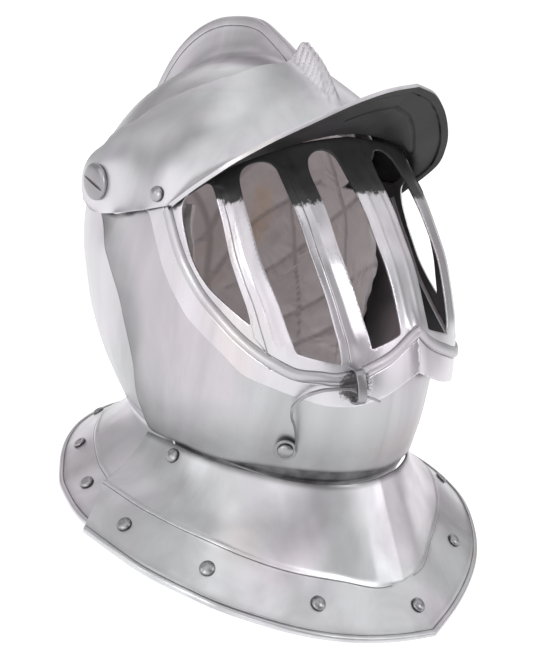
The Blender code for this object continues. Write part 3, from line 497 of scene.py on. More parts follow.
def open_plate(name, halves, body, material, nodes, hub=HUB, sharp=40.0):
    """Both halves of a plate, not thickened yet; halves(side) gives pairs of grid and fields."""
    verts, faces, values = [], [], {}
    for side in (1, -1):
        for grid, fields in halves(side):
            quads = grid_faces(*grid.shape[:2], len(verts))
            verts.extend(grid.reshape(-1, 3) * (side, 1, 1))
            faces.extend(quads if side == 1 else [q[::-1] for q in quads])
            for key, value in fields.items():
                values.setdefault(key, []).extend(np.ravel(value))
    obj = new_piece(name, np.array(verts), faces, body, material, nodes, values)
    tidy(obj, sharp=sharp)
    face_out(obj, hub)
    return obj


def plate(name, grid, fields, body, material, nodes, thickness=SHEET, hub=HUB, edge=0.22):
    """A sheet that is the same on both sides, from the points and fields of its half."""
    obj = open_plate(name, lambda side: [(grid, fields)], body, material, nodes, hub)
    thicken(obj, thickness, edge)
    return obj


def circle(sides):
    return [2 * math.pi * j / sides for j in range(sides)]


def closed_bar(name, rings, body, material, nodes=(), fields=None):
    """A closed piece through rings of points."""
    n, sides = len(rings), len(rings[0])
    faces = []
    for k in range(n - 1):
        for j in range(sides):
            a, b = k * sides + j, k * sides + (j + 1) % sides
            faces.append((a, b, b + sides, a + sides))
    faces += [tuple(range(sides))[::-1], tuple(range((n - 1) * sides, n * sides))]
    return new_piece(name, np.concatenate(rings), faces, body, material, nodes, fields)


# ---------------------------------------------------------------- materials

class Shader:
    """A Principled material and short ways to add the nodes that feed it."""

    def __init__(self, name):
        self.mat = bpy.data.materials.new(name)
        self.mat.use_nodes = True
        self.tree = self.mat.node_tree
        self.out = self.tree.nodes["Principled BSDF"]
        self.coords = self.node("TexCoord", {})["Object"]

    def feed(self, node, inputs):
        """Link inputs of a node to the sockets that feed them, or set their values."""
        for key, value in inputs.items():
            if isinstance(value, bpy.types.NodeSocket):
                self.tree.links.new(value, node.inputs[key])
            else:
                node.inputs[key].default_value = value

    def node(self, kind, inputs, **settings):
        """Outputs of a new node."""
        node = self.tree.nodes.new("ShaderNode" + kind)
        for key, value in settings.items():
            setattr(node, key, value)
        self.feed(node, inputs)
        return node.outputs

    def finish(self, inputs):
        """The material, with these inputs of its Principled node."""
        self.feed(self.out, inputs)
        return self.mat

    def math(self, kind, a, b=0.0):
        return self.node("Math", {0: a, 1: b}, operation=kind)[0]

    def times(self, a, b):
        return self.math("MULTIPLY", a, b)

    def plus(self, a, b):
        return self.math("ADD", a, b)

    def noise(self, scale, detail=3.0, stretch=(1, 1, 1), rough=0.55, warp=0.0):
        place = self.node("Mapping", {"Scale": stretch, "Vector": self.coords})
        return self.node("TexNoise", {"Vector": place[0], "Scale": scale, "Detail": detail,
                                      "Roughness": rough, "Distortion": warp})["Fac"]

    def ramp(self, source, low, high, out_low=0.0, out_high=1.0):
        return self.node("MapRange", {"From Min": low, "From Max": high, "To Min": out_low,
                                      "To Max": out_high, "Value": source},
                         interpolation_type="SMOOTHSTEP")["Result"]

    def field(self, name):
        return self.node("Attribute", {}, attribute_name=name)["Fac"]

    def mix(self, share, a, b):
        a, b = ((*c, 1.0) if isinstance(c, tuple) else c for c in (a, b))
        return self.node("Mix", {"Factor": share, "A": a, "B": b}, data_type="RGBA")["Result"]

    def bump(self, height, distance, strength=1.0, normal=None):
        below = {"Normal": normal} if normal else {}
        return self.node("Bump", {"Strength": strength, "Distance": distance * MM,
                                  "Height": height, **below})["Normal"]


PINKISH, GREENISH, TAN = (0.625, 0.585, 0.63), (0.575, 0.585, 0.60), (0.62, 0.55, 0.52)
# GROOVE is the dark of the painted shade in grooves and creases.
SMEAR, GROOVE, GRIT = (0.33, 0.315, 0.335), (0.10, 0.095, 0.095), (0.07, 0.066, 0.066)
# The last colour here is the dark that painted shade mixes to.
SOOT, SOOT_SHEEN, SHADE_DARK = (0.022, 0.021, 0.022), (0.06, 0.058, 0.06), (0.03, 0.029, 0.03)
LINEN, LINEN_TAN, LINEN_SEAM = (0.74, 0.68, 0.69), (0.75, 0.62, 0.53), (0.30, 0.265, 0.265)
LINEN_FLECK = (0.54, 0.49, 0.49)


def steel(name, rough=0.34, grooves=None, soot=False, weld=False, shade=False, tone=1.0,
          brush=(1.0, 1.0, 0.12)):
    """Satin steel: broad tints, polishing smears, shallow dents and fine brush marks."""
    s = Shader(name)
    # tone scales all the colours of a piece; the plates' tones make lighter and darker copies of
    # one steel, painted light and shade for how much light each plate takes.
    dim = lambda c: tuple(v * tone for v in c)
    tint = s.ramp(s.noise(11, 2.0, warp=0.6), 0.35, 0.65)
    smear = s.noise(22, 4.0, stretch=brush, rough=0.6, warp=0.5)
    colour = s.mix(tint, dim(GREENISH), dim(PINKISH))
    warm = s.ramp(s.noise(17, 1.0, warp=0.4), 0.60, 0.78, 0.0, 0.5)
    colour = s.mix(warm, colour, dim(TAN))
    colour = s.mix(s.ramp(smear, 0.35, 0.75, 0.0, 0.5), colour, dim(SMEAR))
    roughness = s.ramp(s.noise(40, 3.0, stretch=brush), 0.3, 0.7, rough - 0.05, rough + 0.06)
    normal = s.bump(s.noise(16, 2.0, warp=0.3), 0.9, 0.6)
    normal = s.bump(s.noise(700, 2.0, stretch=brush, rough=0.6), 0.015, 0.2, normal)
    metal = 1.0
    # Painted shade: along the grooves, engraved lines and creases (rope, comb line, bars, beside
    # the bead, at the collar's step and roll) the colour is darkened, broken up by noise; the bump
    # hollows them.
    if grooves:
        gap = s.math("ABSOLUTE", s.field(grooves))
        broken = s.times(s.noise(140, 2.0), 0.35)
        line = s.ramp(s.plus(gap, broken), 0.24, 0.70, 1.0, 0.0)
        colour = s.mix(s.times(line, 0.8), colour, GROOVE)
        normal = s.bump(s.ramp(gap, 0.0, 0.8), 0.3, 0.7, normal)
    if weld:
        grit = s.noise(650, 4.0, rough=0.8)
        near = s.field("weld")
        share = s.ramp(s.plus(near, s.times(grit, 1.3)), 1.0, 1.35, 0.0, 0.9)
        colour = s.mix(share, colour, GRIT)
        normal = s.bump(s.times(grit, s.ramp(near, 0.2, 0.9)), 0.9, 0.9, normal)
    # Painted shade: the shade field darkens the colour, broken up by noise, where shade falls: at
    # the bevor's foot, the collars' necks, over the lame and round the rivets' feet.
    if shade:
        painted_shade = s.times(s.field("shade"), s.ramp(s.noise(60, 3.0), 0.2, 0.7, 0.75, 1.0))
        colour = s.mix(painted_shade, colour, SHADE_DARK)
    if soot:
        streak = s.noise(260, 3.0, stretch=(1, 1, 0.06), rough=0.7)
        share = s.ramp(s.plus(s.field("soot"), s.times(streak, 1.1)), 0.95, 1.2)
        sheen = s.mix(s.noise(150, 2.0, stretch=(1, 1, 0.1)), SOOT, SOOT_SHEEN)
        colour = s.mix(share, colour, sheen)
        roughness = s.plus(roughness, s.times(share, 0.12))
        metal = s.math("SUBTRACT", 1.0, s.times(share, 0.6))
    return s.finish({"Metallic": metal, "Base Color": colour, "Roughness": roughness,
                     "Normal": normal})


def blackened(name, base=SOOT, grooves=False, shine=0.35):
    """The dark painted inside of the plates, brushed on."""
    s = Shader(name)
    mottled = s.noise(60, 4.0, stretch=(0.35, 1, 1), warp=0.4)
    colour = s.mix(s.ramp(mottled, 0.3, 0.75), base, tuple(c * 2.0 for c in base))
    normal = s.bump(s.noise(500, 3.0, stretch=(0.2, 1, 1)), 0.03, 0.3)
    # Painted shade: with grooves, darker still along the hem and the step line of the peak's
    # underside.
    if grooves:
        gap = s.math("ABSOLUTE", s.field("groove"))
        colour = s.mix(s.ramp(gap, 0.3, 0.9, 1.0, 0.0), colour, (0.004, 0.004, 0.004))
        normal = s.bump(s.ramp(gap, 0.0, 1.0), 0.4, 0.6, normal)
    return s.finish({"Base Color": colour, "Roughness": s.ramp(mottled, 0.2, 0.8, 0.42, 0.58),
                     "Normal": normal, "Specular IOR Level": shine})


def linen(name):
    """Taupe cotton: weave, soft colour patches and painted shade along the sunk seams."""
    s = Shader(name)
    colour = s.mix(s.ramp(s.noise(22, 2.0, warp=0.8), 0.50, 0.74), LINEN, LINEN_TAN)
    # Painted shade: darker along the sunk seams.
    colour = s.mix(s.ramp(s.field("seam"), 0.2, 2.6, 0.55, 0.0), colour, LINEN_SEAM)
    colour = s.mix(s.ramp(s.noise(180, 3.0), 0.35, 0.75, 0.0, 0.2), colour, LINEN_FLECK)
    waves = [s.node("TexWave", {"Scale": 260, "Distortion": 0.6, "Vector": s.coords},
                    bands_direction=axis)["Fac"] for axis in "XY"]
    normal = s.bump(s.times(*waves), 0.12, 0.5)
    normal = s.bump(s.noise(90, 4.0, rough=0.65), 0.8, 0.5, normal)
    return s.finish({"Normal": normal, "Base Color": colour, "Roughness": 0.92,
                     "Sheen Weight": 0.25, "Sheen Roughness": 0.5})


BLACK = blackened("blackened_inside")
BLACK_PEAK = blackened("blackened_peak", (0.018, 0.017, 0.018), grooves=True, shine=0.12)


# ---------------------------------------------------------------- skull and fall

def build_skull():
    grid, depth = fan_grid(SKULL_NECK, *GRID["skull"])
    tall = depth[:, COMB_POINTS - 1:COMB_POINTS] > COMB_LOW
    groove = np.where(tall, depth - COMB_BORDER, FAR_OFF)
    plate("skull_plate", grid, {"groove": groove}, "skull",
          steel("skull_steel", grooves="groove"), ["skull"])


def fall_wall(rear, root, t):
    """Wall of the fall between matching points of its rear edge and its root."""
    size = lambda p: np.linalg.norm((p - BOWL_CENTRE) / BOWL_AXES, axis=-1, keepdims=True)
    rear, root, t = rear[:, None, :], root[:, None, :], t[None, :, None]
    near = smoothstep((EAR_REACH - np.hypot(rear[..., 1:2], rear[..., 2:3])) / 16)
    e0 = 1 + (LAYER + EAR_RISE * near) / BOWL_HALF_WIDTH
    reach = 1 - 0.45 * smoothstep((rear[..., 0:1] - 20) / 40)
    e = e0 + (size(root) - e0) * np.minimum(t / reach, 1.0)
    p = rear + (root - rear) * t
    p = BOWL_CENTRE + (p - BOWL_CENTRE) * e / size(p)
    return p, unit((p - BOWL_CENTRE) / BOWL_AXES**2)


def twist(p, side):
    """Share of its height that the grooves leave to the rope, and the distance to a groove."""
    along = (p[..., 1] - p[..., 2]) / math.sqrt(2)
    phase = (along + 0.75 * side * p[..., 0]) / ROPE_PITCH
    lobe = np.abs(np.sin(math.pi * phase))
    return 0.91 + 0.09 * lobe**0.5, ROPE_PITCH * np.abs(phase - np.round(phase))


def fair_dome(grid):
    """Even out a grid round the bowl: a simple shape, plus what its edges and seat ask for."""
    d = (grid - BOWL_CENTRE) / BOWL_AXES
    size = np.linalg.norm(d, axis=-1)
    u = d / size[..., None]
    terms = np.stack([u[..., 0]**(2 * a) * u[..., 1]**b * u[..., 2]**c
                      for a in range(3) for b in range(6) for c in range(6)
                      if 2 * a + b + c <= 5], axis=-1)
    factors = np.linalg.lstsq(terms.reshape(-1, terms.shape[-1]), size.ravel(), rcond=None)[0]
    even = terms @ factors
    held = np.hypot(grid[..., 1], grid[..., 2]) < 10
    held[:, 0] = held[:, -1] = held[-1] = True
    rest = size - even
    spread = np.where(held, rest, 0.0)
    for _ in range(3000):
        padded = np.pad(spread, 1, mode="edge")
        padded[0] = padded[2]
        mean = (padded[:-2, 1:-1] + padded[2:, 1:-1] + padded[1:-1, :-2] + padded[1:-1, 2:]) / 4
        spread = np.where(held, rest, mean)
    return BOWL_CENTRE + u * (even + spread)[..., None] * BOWL_AXES


def away_from_edges(rows, columns, closed_end=True):
    """1 inside a grid, falling to 0 over the last points before its free edges."""
    i, j = np.meshgrid(np.arange(rows), np.arange(columns), indexing="ij")
    free = np.minimum(j, columns - 1 - j)
    if not closed_end:
        free = np.minimum(free, rows - 1 - i)
    return smoothstep(free / 7.0)


def fall_columns(table, n):
    """Points along an edge of the fall: fine over the crest, then n on."""
    fine = np.linspace(0, ROPE_SIDE[-1][0], 40)
    p = resample(table, 900)
    start = np.array([p[np.argmin(np.abs(p[:, 0] - x))] for x in fine])
    start[:, 0] = fine
    rest = p[p[:, 0] >= fine[-1]]
    return np.concatenate([start, resample(rest, n)[1:]])


def fall_half(side):
    """Wall with peak, and ear, of one half of the fall; the fields that go with them."""
    crest, across = curve(CREST), curve(ROPE_SIDE)
    steps = np.linspace(0, 1, WALL_ROWS)
    wall, normal = fall_wall(fall_columns(FALL_REAR, WALL_COLUMNS),
                             fall_columns(FALL_ROOT, WALL_COLUMNS), steps)
    ear, _ = fall_wall(resample(EAR_REAR, EAR_COLUMNS), resample(EAR_FOOT, EAR_COLUMNS), steps)
    dome = np.concatenate([wall, ear[1:]])
    dome[..., 0] = flatten(dome[..., 0], dome[..., 1], dome[..., 2], "fall")
    dome = fair_dome(dome)
    wall, ear = dome[:len(wall)], dome[len(wall) - 1:]
    rise, spread = crest(wall[..., 2]), across(np.abs(wall[..., 0]))
    rope = smoothstep((rise - 0.8) / 2.0) * (spread > 0.1)
    share, rope_gap = twist(wall, side)
    height = rise * spread * np.where(rope > 0, 1 + (share - 1) * rope, 1)
    wall = wall + normal * height[..., None]
    tips = fall_columns(PEAK_EDGE + [FALL_ROOT[-1]], WALL_COLUMNS)[:, None, :]
    t = np.linspace(0, 1, PEAK_ROWS)[None, :, None]
    root = wall[:, -1:, :]
    sag = PEAK_SAG * np.sin(math.pi * t) * (1 - np.abs(tips[..., 0:1]) / PEAK_HALF_WIDTH)
    peak = root + (tips - root) * t - sag * (0, 0, 1)
    whole = round_fold(np.concatenate([wall, peak[:, 1:, :]], axis=1), WALL_ROWS - 1)
    off = np.abs(whole[..., 0])
    to_edge = np.linalg.norm(whole - tips, axis=-1)
    to_edge[:, :WALL_ROWS] = FAR_OFF
    step_at = STEP_IN + STEP_MORE * np.minimum(off / 50, 1)
    step = np.where(off < STEP_SIDE[side], np.abs(to_edge - step_at) / STEP_WIDE, FAR_OFF)
    hem = np.where(off < 90, np.abs(to_edge - HEM), FAR_OFF)
    strands = np.full(off.shape, FAR_OFF)
    strands[:, :WALL_ROWS] = np.where(rope > 0.6, 1.5 * rope_gap + 0.12, FAR_OFF)
    fair = away_from_edges(*off.shape) * smoothstep(
        np.maximum((off - 9) / 8, (30 - whole[..., 2]) / 10))
    fair[:, WALL_ROWS - 6:] *= smoothstep((len(whole) - 1 - np.arange(len(whole))) / 9)[:, None]
    thin = SHEET / HEM_THICK
    none = np.full(ear.shape[:2], FAR_OFF)
    return ((whole, {"groove": np.minimum(hem, step), "rope": strands, "fair": fair,
                     "thick": np.where(to_edge < HEM, 1.0, thin)}),
            (ear, {"groove": none, "rope": none, "thick": np.full(none.shape, thin),
                   "fair": away_from_edges(*none.shape, closed_end=False)}))


def round_fold(grid, k):
    """Round each column where the wall turns into the peak, at row k."""
    out = grid.copy()
    for column, smooth in zip(grid, out):
        s = arc_length(column)
        s -= s[k]
        half = min(FOLD, 0.8 * (s[-1] - s[k]), 0.8 * (s[k] - s[0]))
        if half < 0.5:
            continue
        at = lambda q: np.array([np.interp(q, s, column[:, i]) for i in range(3)])
        a, b, c = at(-half), column[k], at(half)
        for i in np.where(np.abs(s) < half)[0]:
            u = (s[i] + half) / (2 * half)
            smooth[i] = (1 - u)**2 * a + 2 * u * (1 - u) * b + u * u * c
    return out


def fair_surface(obj, rounds):
    """Smooth a plate where its fair field allows, ready to be thickened by its thick field."""
    for key in ("fair", "thick"):
        group = obj.vertex_groups.new(name=key)
        for k, item in enumerate(obj.data.attributes[key].data):
            group.add([k], item.value, "REPLACE")
    smooth = obj.modifiers.new("fair", "SMOOTH")
    smooth.factor, smooth.iterations, smooth.vertex_group = 0.5, rounds, "fair"


def build_fall():
    obj = open_plate("fall_plate", fall_half, "fall",
                     steel("fall_steel", 0.37, grooves="rope", tone=1.1), ["fall"],
                     (0, 20, -60), 50)
    fair_surface(obj, 12)
    thicken(obj, HEM_THICK)
    line_inside(obj, BLACK_PEAK)
    obj.modifiers["sheet"].vertex_group = "thick"


# ---------------------------------------------------------------- visor and bevor

WELD = np.array([-44.7, 144.6, -124.0])          # middle of the weld of the staple
WELD_REACH, WELD_FADE = 17, 15                   # how far its grit goes, and fades over
MESH_PITCH = 1.5
BAR_FOOT, BAR_HEAD = -112, -2                    # heights that the relief of the bars keeps to
SOOT_FOOT = curve([(0, -22), (9, -24), (21, -27), (35, -24), (50, -22), (70, -14), (100, -6)])


class Unrolled:
    """Millimetres round the front of a face plate for its plan angles, and back."""

    def __init__(self, shell, z=-70.0):
        self.angles = np.linspace(0, 150, 3000)
        self.arc = arc_length(shell.point(self.angles, z))

    def flat(self, angle):
        return np.sign(angle) * np.interp(np.abs(angle), self.angles, self.arc)

    def angle(self, u):
        return np.sign(u) * np.interp(np.abs(u), self.arc, self.angles)


def rounded(points, sharp, keep=1.6, rounds=3, pitch=0.9):
    """Round a closed outline; the corners named sharp keep a small radius."""
    pts = np.array(points, float)
    out = []
    for i, p in enumerate(pts):
        if i in sharp:
            for q in (pts[i - 1], pts[(i + 1) % len(pts)]):
                out.append(p + (q - p) / np.linalg.norm(q - p) * keep)
        else:
            out.append(p)
    pts = np.array(out)
    for _ in range(rounds):
        nxt = np.roll(pts, -1, axis=0)
        pts = np.stack([0.75 * pts + 0.25 * nxt, 0.25 * pts + 0.75 * nxt], axis=1).reshape(-1, 2)
    ring = np.concatenate([pts, pts[:1]])
    s = arc_length(ring)
    keys = np.linspace(0, s[-1], int(s[-1] / pitch))[:-1]
    return np.stack([np.interp(keys, s, ring[:, k]) for k in (0, 1)], axis=1)


def inside(points, border, holes=()):
    """Which points lie inside a closed outline and outside its holes."""
    x, y = points.T
    hit = np.zeros(len(points), bool)
    for polygon in (border, *holes):
        for (x0, y0), (x1, y1) in zip(polygon, np.roll(polygon, -1, axis=0)):
            crosses = (y0 > y) != (y1 > y)
            with np.errstate(divide="ignore", invalid="ignore"):
                hit ^= crosses & (x < (x1 - x0) * (y - y0) / (y1 - y0) + x0)
    return hit


def filled(border, holes, lines=()):
    """Fine triangles of a flat region with holes: points and triangles."""
    pts, edges = [], []
    for line, parts in [(p, len(p)) for p in (border, *holes)] + [(p, len(p) - 1) for p in lines]:
        first = len(pts)
        pts.extend(line)
        edges.extend((first + i, first + (i + 1) % len(line)) for i in range(parts))
    pts = np.array(pts)
    low, high = pts.min(0), pts.max(0)
    xs = np.arange(low[0], high[0], MESH_PITCH)
    ys = np.arange(low[1], high[1], MESH_PITCH * 0.87)
    net = np.array([(x + (MESH_PITCH / 2 if j % 2 else 0), y)
                    for j, y in enumerate(ys) for x in xs])
    net = net[inside(net, border, holes)]
    tight = MESH_PITCH * 0.45
    for start in range(0, len(net), 4000):
        part = net[start:start + 4000]
        gap = np.min(np.linalg.norm(part[:, None, :] - pts[None, :, :], axis=2), axis=1)
        part[gap < tight] = np.nan
    net = net[~np.isnan(net[:, 0])]
    every = [Vector(p) for p in np.concatenate([pts, net])]
    out = geometry.delaunay_2d_cdt(every, edges, [], 0, 1e-4)
    verts = np.array([tuple(v) for v in out[0]])
    tris = np.array([t for t in out[2] if len(t) == 3])
    return verts, tris[inside(verts[tris].mean(axis=1), border, holes)]


def side_of(window, z, front):
    """Plan angle of the front or rear side of a window at a height."""
    pts = np.array(WINDOWS[window])
    middle = pts[:, 0].mean()
    edge = pts[pts[:, 0] < middle] if front else pts[pts[:, 0] >= middle]
    return curve([(p[1], p[0]) for p in edge])(z)


def line_gap(points, line):
    """Distance of flat points to a line of many short parts, and the side they are on."""
    best, below = np.full(len(points), FAR_OFF), np.zeros(len(points), bool)
    for a, b in zip(line, line[1:]):
        d = b - a
        t = np.clip((points - a) @ d / (d @ d), 0, 1)
        off = points - a - t[:, None] * d
        gap = np.linalg.norm(off, axis=1)
        closer = gap < best
        best = np.where(closer, gap, best)
        below = np.where(closer, off[:, 1] < 0, below)
    return best, below


def bar_relief(roll, u, z):
    """Raised line and crown of the bars, and the distance to their engraved line."""
    a = np.abs(u)
    high, gap = np.zeros_like(a), np.full_like(a, FAR_OFF)
    fade = lambda head: smoothstep((z - BAR_FOOT) / 12) * smoothstep((head - z) / 8)
    for rear, front in BARS:
        outer, inner = roll.flat(side_of(rear, z, True)), roll.flat(side_of(front, z, False))
        t = (outer - a) / (outer - inner)
        on = (t > 0) & (t < 1) & (z < BAR_HEAD) & (z > BAR_FOOT)
        crown = 0.5 * np.sin(math.pi * np.clip(t, 0, 1)) + 0.35 * np.exp(-((t - 0.5) / 0.1)**2)
        high = np.where(on, crown * fade(BAR_HEAD), high)
        gap = np.where(on, (t - 0.25) * (outer - inner), gap)
    on = (a < 11) & (z < BAR_HEAD - 2) & (z > BAR_FOOT)
    ridge = 0.35 * np.exp(-((a - 5.5) / 1.2)**2) * fade(BAR_HEAD - 2)
    return np.where(on, np.maximum(high, ridge), high), gap


def weld_share(points):
    """1 at the foot of the staple, falling to 0 over the grit of its weld."""
    d = np.asarray(points, float) - WELD
    return smoothstep((WELD_REACH - np.linalg.norm(d * (1, 1, 1.15), axis=-1)) / WELD_FADE)


def build_visor(shell):
    roll = Unrolled(shell)
    flatten_out = lambda loop: np.stack([roll.flat(loop[:, 0]), loop[:, 1]], axis=1)
    low, high = (flatten_out(signed_outline(shell, t, VISOR_POINTS))
                 for t in (VISOR_LOWER, VISOR_UPPER))
    border = np.concatenate([low, high[::-1]])
    holes = []
    for name, points in WINDOWS.items():
        loop = rounded(flatten_out(np.array(points)), SHARP_CORNERS[name])
        holes += [loop, loop * (-1, 1)]
    keel = [(0.0, z) for z in np.arange(high[len(high) // 2][1] - 1.5, -123.0, -1.5)]
    flat, tris = filled(border, holes, [keel])
    u, z = flat.T
    angle = roll.angle(u)
    relief, gap = bar_relief(roll, u, z)
    bead = flatten_out(signed_outline(shell, BEAD_LINE, 120))
    off, below = line_gap(flat, bead)
    crease = np.where(below, off - BEAD_WIDE - 0.35, (off - BEAD_WIDE - 0.2) * 1.8)
    gap = np.where(np.abs(crease) < np.abs(gap), crease, gap)
    soot = smoothstep((z - SOOT_FOOT(np.abs(angle)) + 7) / 15.0)
    points = shell.point(angle, z, relief)
    skin = steel("visor_steel", 0.29, grooves="groove", soot=True, weld=True, tone=1.12)
    obj = new_piece("visor_plate", points, tris, "visor", skin, ["visor"],
                    {"groove": gap, "soot": soot, "weld": weld_share(points)})
    tidy(obj)
    face_out(obj)
    thicken(obj, edge=0.2)
    obj.modifiers["edges"].use_clamp_overlap = False
    line_inside(obj, BLACK)


def build_bead(shell):
    """Flat bead round the lower edge of the visor."""
    half = outline(shell, BEAD_LINE, BEAD_POINTS)
    path = shell.point(half[:, 0], half[:, 1], 0.3)
    path[0, 0] = 0.0
    path = np.concatenate([path[:0:-1] * (-1, 1, 1), path])
    rings = []
    for p, along in zip(path, directions(path)):
        out = square_to(unit(np.array([p[0], p[1] - FACE_CENTRE, 0.0])), along)
        side = np.cross(along, out)
        rings.append([p + BEAD_WIDE * (BEAD_SQUEEZE * math.cos(a) * out + math.sin(a) * side)
                      for a in circle(BEAD_SIDES)])
    obj = closed_bar("visor_bead", rings, "visor",
                     steel("bead_steel", 0.42, weld=True, tone=0.92),
                     fields={"weld": weld_share(np.concatenate(rings))})
    tidy(obj)
    normals_out(obj)


def build_bevor(shell):
    grid = patch_grid(shell, BEVOR_UPPER, BEVOR_LOWER, *GRID["bevor"], 1.2)
    to_foot = np.linalg.norm(grid - grid[:, -1:], axis=-1)
    # Painted shade: darker over the last 46 mm towards the lower edge, and darker still in a thin
    # line at the edge itself.
    shade = 0.42 * smoothstep(1 - to_foot / 46) + 0.3 * smoothstep(1 - to_foot / 2.5)
    plate("bevor_plate", grid, {"shade": shade}, "bevor",
          steel("bevor_steel", 0.32, shade=True, tone=0.88), ["bevor"])


def build_lame(shell):
    grid = patch_grid(shell, LAME_UPPER, LAME_LOWER, *GRID["lame"])
    to_foot = np.linalg.norm(grid - grid[:, -1:], axis=-1)
    # Painted shade: the lame sits in the dark gap under the bevor, so it is painted dark all over,
    # with a thin lighter line 9.5 mm above its lower edge, a painted highlight.
    shade = 0.93 - 0.5 * np.exp(-((to_foot - 9.5) / 0.5) ** 2)
    plate("neck_lame_plate", grid, {"shade": shade}, "bevor",
          steel("lame_steel", 0.36, shade=True, tone=1.2), ["neck_lame"], thickness=1.0)


# ---------------------------------------------------------------- collar

FLARE_STEPS, BAND_STEPS, ROLL_STEPS = 42, 34, 14
ROLL_RADIUS, ROLL_DROP = 2.1, 0.7


def collar_grid(neck, step, rim, across, tuck=0.0):
    """Half a collar plate: neck edge, concave flare, raised border line, band, roll."""
    floor_z = lambda f: RIM_FRONT[1] + (RIM_FRONT[0] - f) * FLOOR_SLOPE
    rim = [(w, f, floor_z(f) if z is None else z) for w, f, z in rim]
    up = np.array([0, math.sin(REST_TILT), math.cos(REST_TILT)])
    grid, gaps, shades = [], [], []
    for a, b, c in zip(*(resample(t, across) for t in (neck, step, rim))):
        out = unit(np.array([c[0] - b[0], c[1] - b[1], 0]))
        t = np.linspace(0, 1, FLARE_STEPS)[:, None] ** 0.9
        sag = (out * 0.5 + np.array([0, 0, 0.8])) * 3.2 * abs(b[0]) / 110
        flare = a + (b - a) * t - sag * np.sin(math.pi * t)
        if tuck:
            flare[:3] += np.array([0, 0, tuck]) * np.array([[1.0], [0.5], [0.15]])
        band = b + (c - b) * np.linspace(0, 1, BAND_STEPS)[1:, None]
        slope = unit(c - b)
        lift = unit(np.cross(np.cross(slope, up), slope))
        lift = lift if lift @ up >= 0 else -lift
        centre = c - lift * ROLL_DROP
        turns = np.radians(np.linspace(150, -95, ROLL_STEPS))[:, None]
        roll = centre + ROLL_RADIUS * (np.cos(turns) * slope + np.sin(turns) * lift)
        column = np.concatenate([flare, band[:-3], roll])
        s = np.linalg.norm(column - b, axis=1) * np.where(np.arange(len(column)) < FLARE_STEPS,
                                                          -1, 1)
        show = smoothstep((abs(b[0]) - 5) / 9)
        column = column + lift * (0.40 * show * np.exp(-(s / 1.2) ** 2))[:, None]
        gap = np.where(show > 0.35, (s - 1.3) * 1.25, FAR_OFF)
        rim_gap = np.linalg.norm(column - roll[0], axis=1)
        gap = np.where(np.abs(rim_gap) < np.abs(gap), rim_gap, gap)
        grid.append(column)
        gaps.append(gap)
        # Painted shade: dark over the first 4.5 mm from the neck edge, in the crevice under the
        # plate above, and a little dark within 6 mm of the rim's roll.
        from_neck = np.linalg.norm(column - column[0], axis=1)
        shades.append(0.75 * smoothstep(1 - from_neck / 4.5) + 0.2 * smoothstep(1 - rim_gap / 6))
    return np.array(grid), {"groove": np.array(gaps), "shade": np.array(shades)}


def build_collar(name, grid, fields, body):
    finish = steel(name + "_steel", 0.34, grooves="groove", shade=True, tone=1.2,
                   brush=(1.0, 1.0, 0.5))
    plate(name + "_plate", grid, fields, body, finish, [name], hub=(0, 30, -600))


# ---------------------------------------------------------------- hook and staple

HOOK_RIVET = (46.7, -158.8)
HOOK_LEAN = (10.0, 8.0)
HOOK_STANDS = 1.9
HOOK_PATH = [(57.2, 108.7, -159.2), (61.3, 113.7, -151.2), (66.5, 118.3, -143.5),
             (71.6, 122.1, -136.5), (73.4, 126, -131.5), (69.2, 135, -125.1), (63.5, 141, -123.7),
             (54.5, 147.5, -124.3), (46.5, 150.8, -128.7), (35.6, 154, -134.2)]
HOOK_BLADE = (4.8, 1.4)
HOOK_EYE = (6.6, 2.6, 1.4)
STAPLE = dict(f=144.6, z=-124.0, half_height=9.5, stands=10.5, strip=(5.0, 1.5))


def strip(name, path, frames, size, body, material, edge=0.3):
    """Bar of rectangular section along a path; frames holds the two directions of its size."""
    wide, thick = size[0] / 2, size[1] / 2
    rings = [[p + u * a * wide + v * b * thick for a, b in ((-1, -1), (1, -1), (1, 1), (-1, 1))]
             for p, (u, v) in zip(path, frames)]
    obj = closed_bar(name, rings, body, material)
    normals_out(obj)
    soften(obj, edge, 3, 50)
    obj.data.shade_smooth()


def build_staple(shell):
    f, z, stands, h = (STAPLE[key] for key in ("f", "z", "stands", "half_height"))
    angle = float(shell.angle(f, z))
    foot = shell.point(angle, z)
    ahead = unit(shell.point(angle + 2, z) - foot)
    out = facing(np.array([ahead[1], -ahead[0], 0]))
    loop = resample([(-1.2, h), (stands * 0.55, h - 0.4), (stands * 0.92, h * 0.62), (stands, 0.0),
                     (stands * 0.92, -h * 0.62), (stands * 0.55, -h + 0.4), (-1.2, -h)], 48)
    path = [foot + np.array([0, 0, 1.0]) * rise + out * o for o, rise in loop]
    frames = [(ahead * MIRROR, np.cross(along, ahead) * MIRROR) for along in directions(path)]
    strip("staple", [p * MIRROR for p in path], frames, STAPLE["strip"], "visor",
          steel("staple_steel", 0.3, tone=0.62), 0.35)


def build_hook_blade(material):
    path = [np.array([-w, f, z]) for w, f, z in resample(HOOK_PATH, 90)]
    frames = []
    for k, (p, along) in enumerate(zip(path, directions(path))):
        out = square_to(np.array([p[0], (p[1] - FACE_CENTRE) * 0.75, 0]), along)
        taper = 1 - 0.9 * smoothstep((k - 78) / 11)
        frames.append((out * taper, np.cross(along, out)))
    strip("hook_blade", path, frames, HOOK_BLADE, "hook", material)


# ---------------------------------------------------------------- rivets and screws

FLANGE_RIVET = (4.4, 2.8)
PIVOT_HEAD = (11.0, 3.4)
SLOT_SIZE, SLOT_TURN = (2.4, 30, 2.0), 35.0      # deep, long and wide; degrees
CLEAR = 0.3
RIVETS = steel("rivet_steel_finish", 0.30, shade=True, tone=0.68, brush=(1, 1, 1))


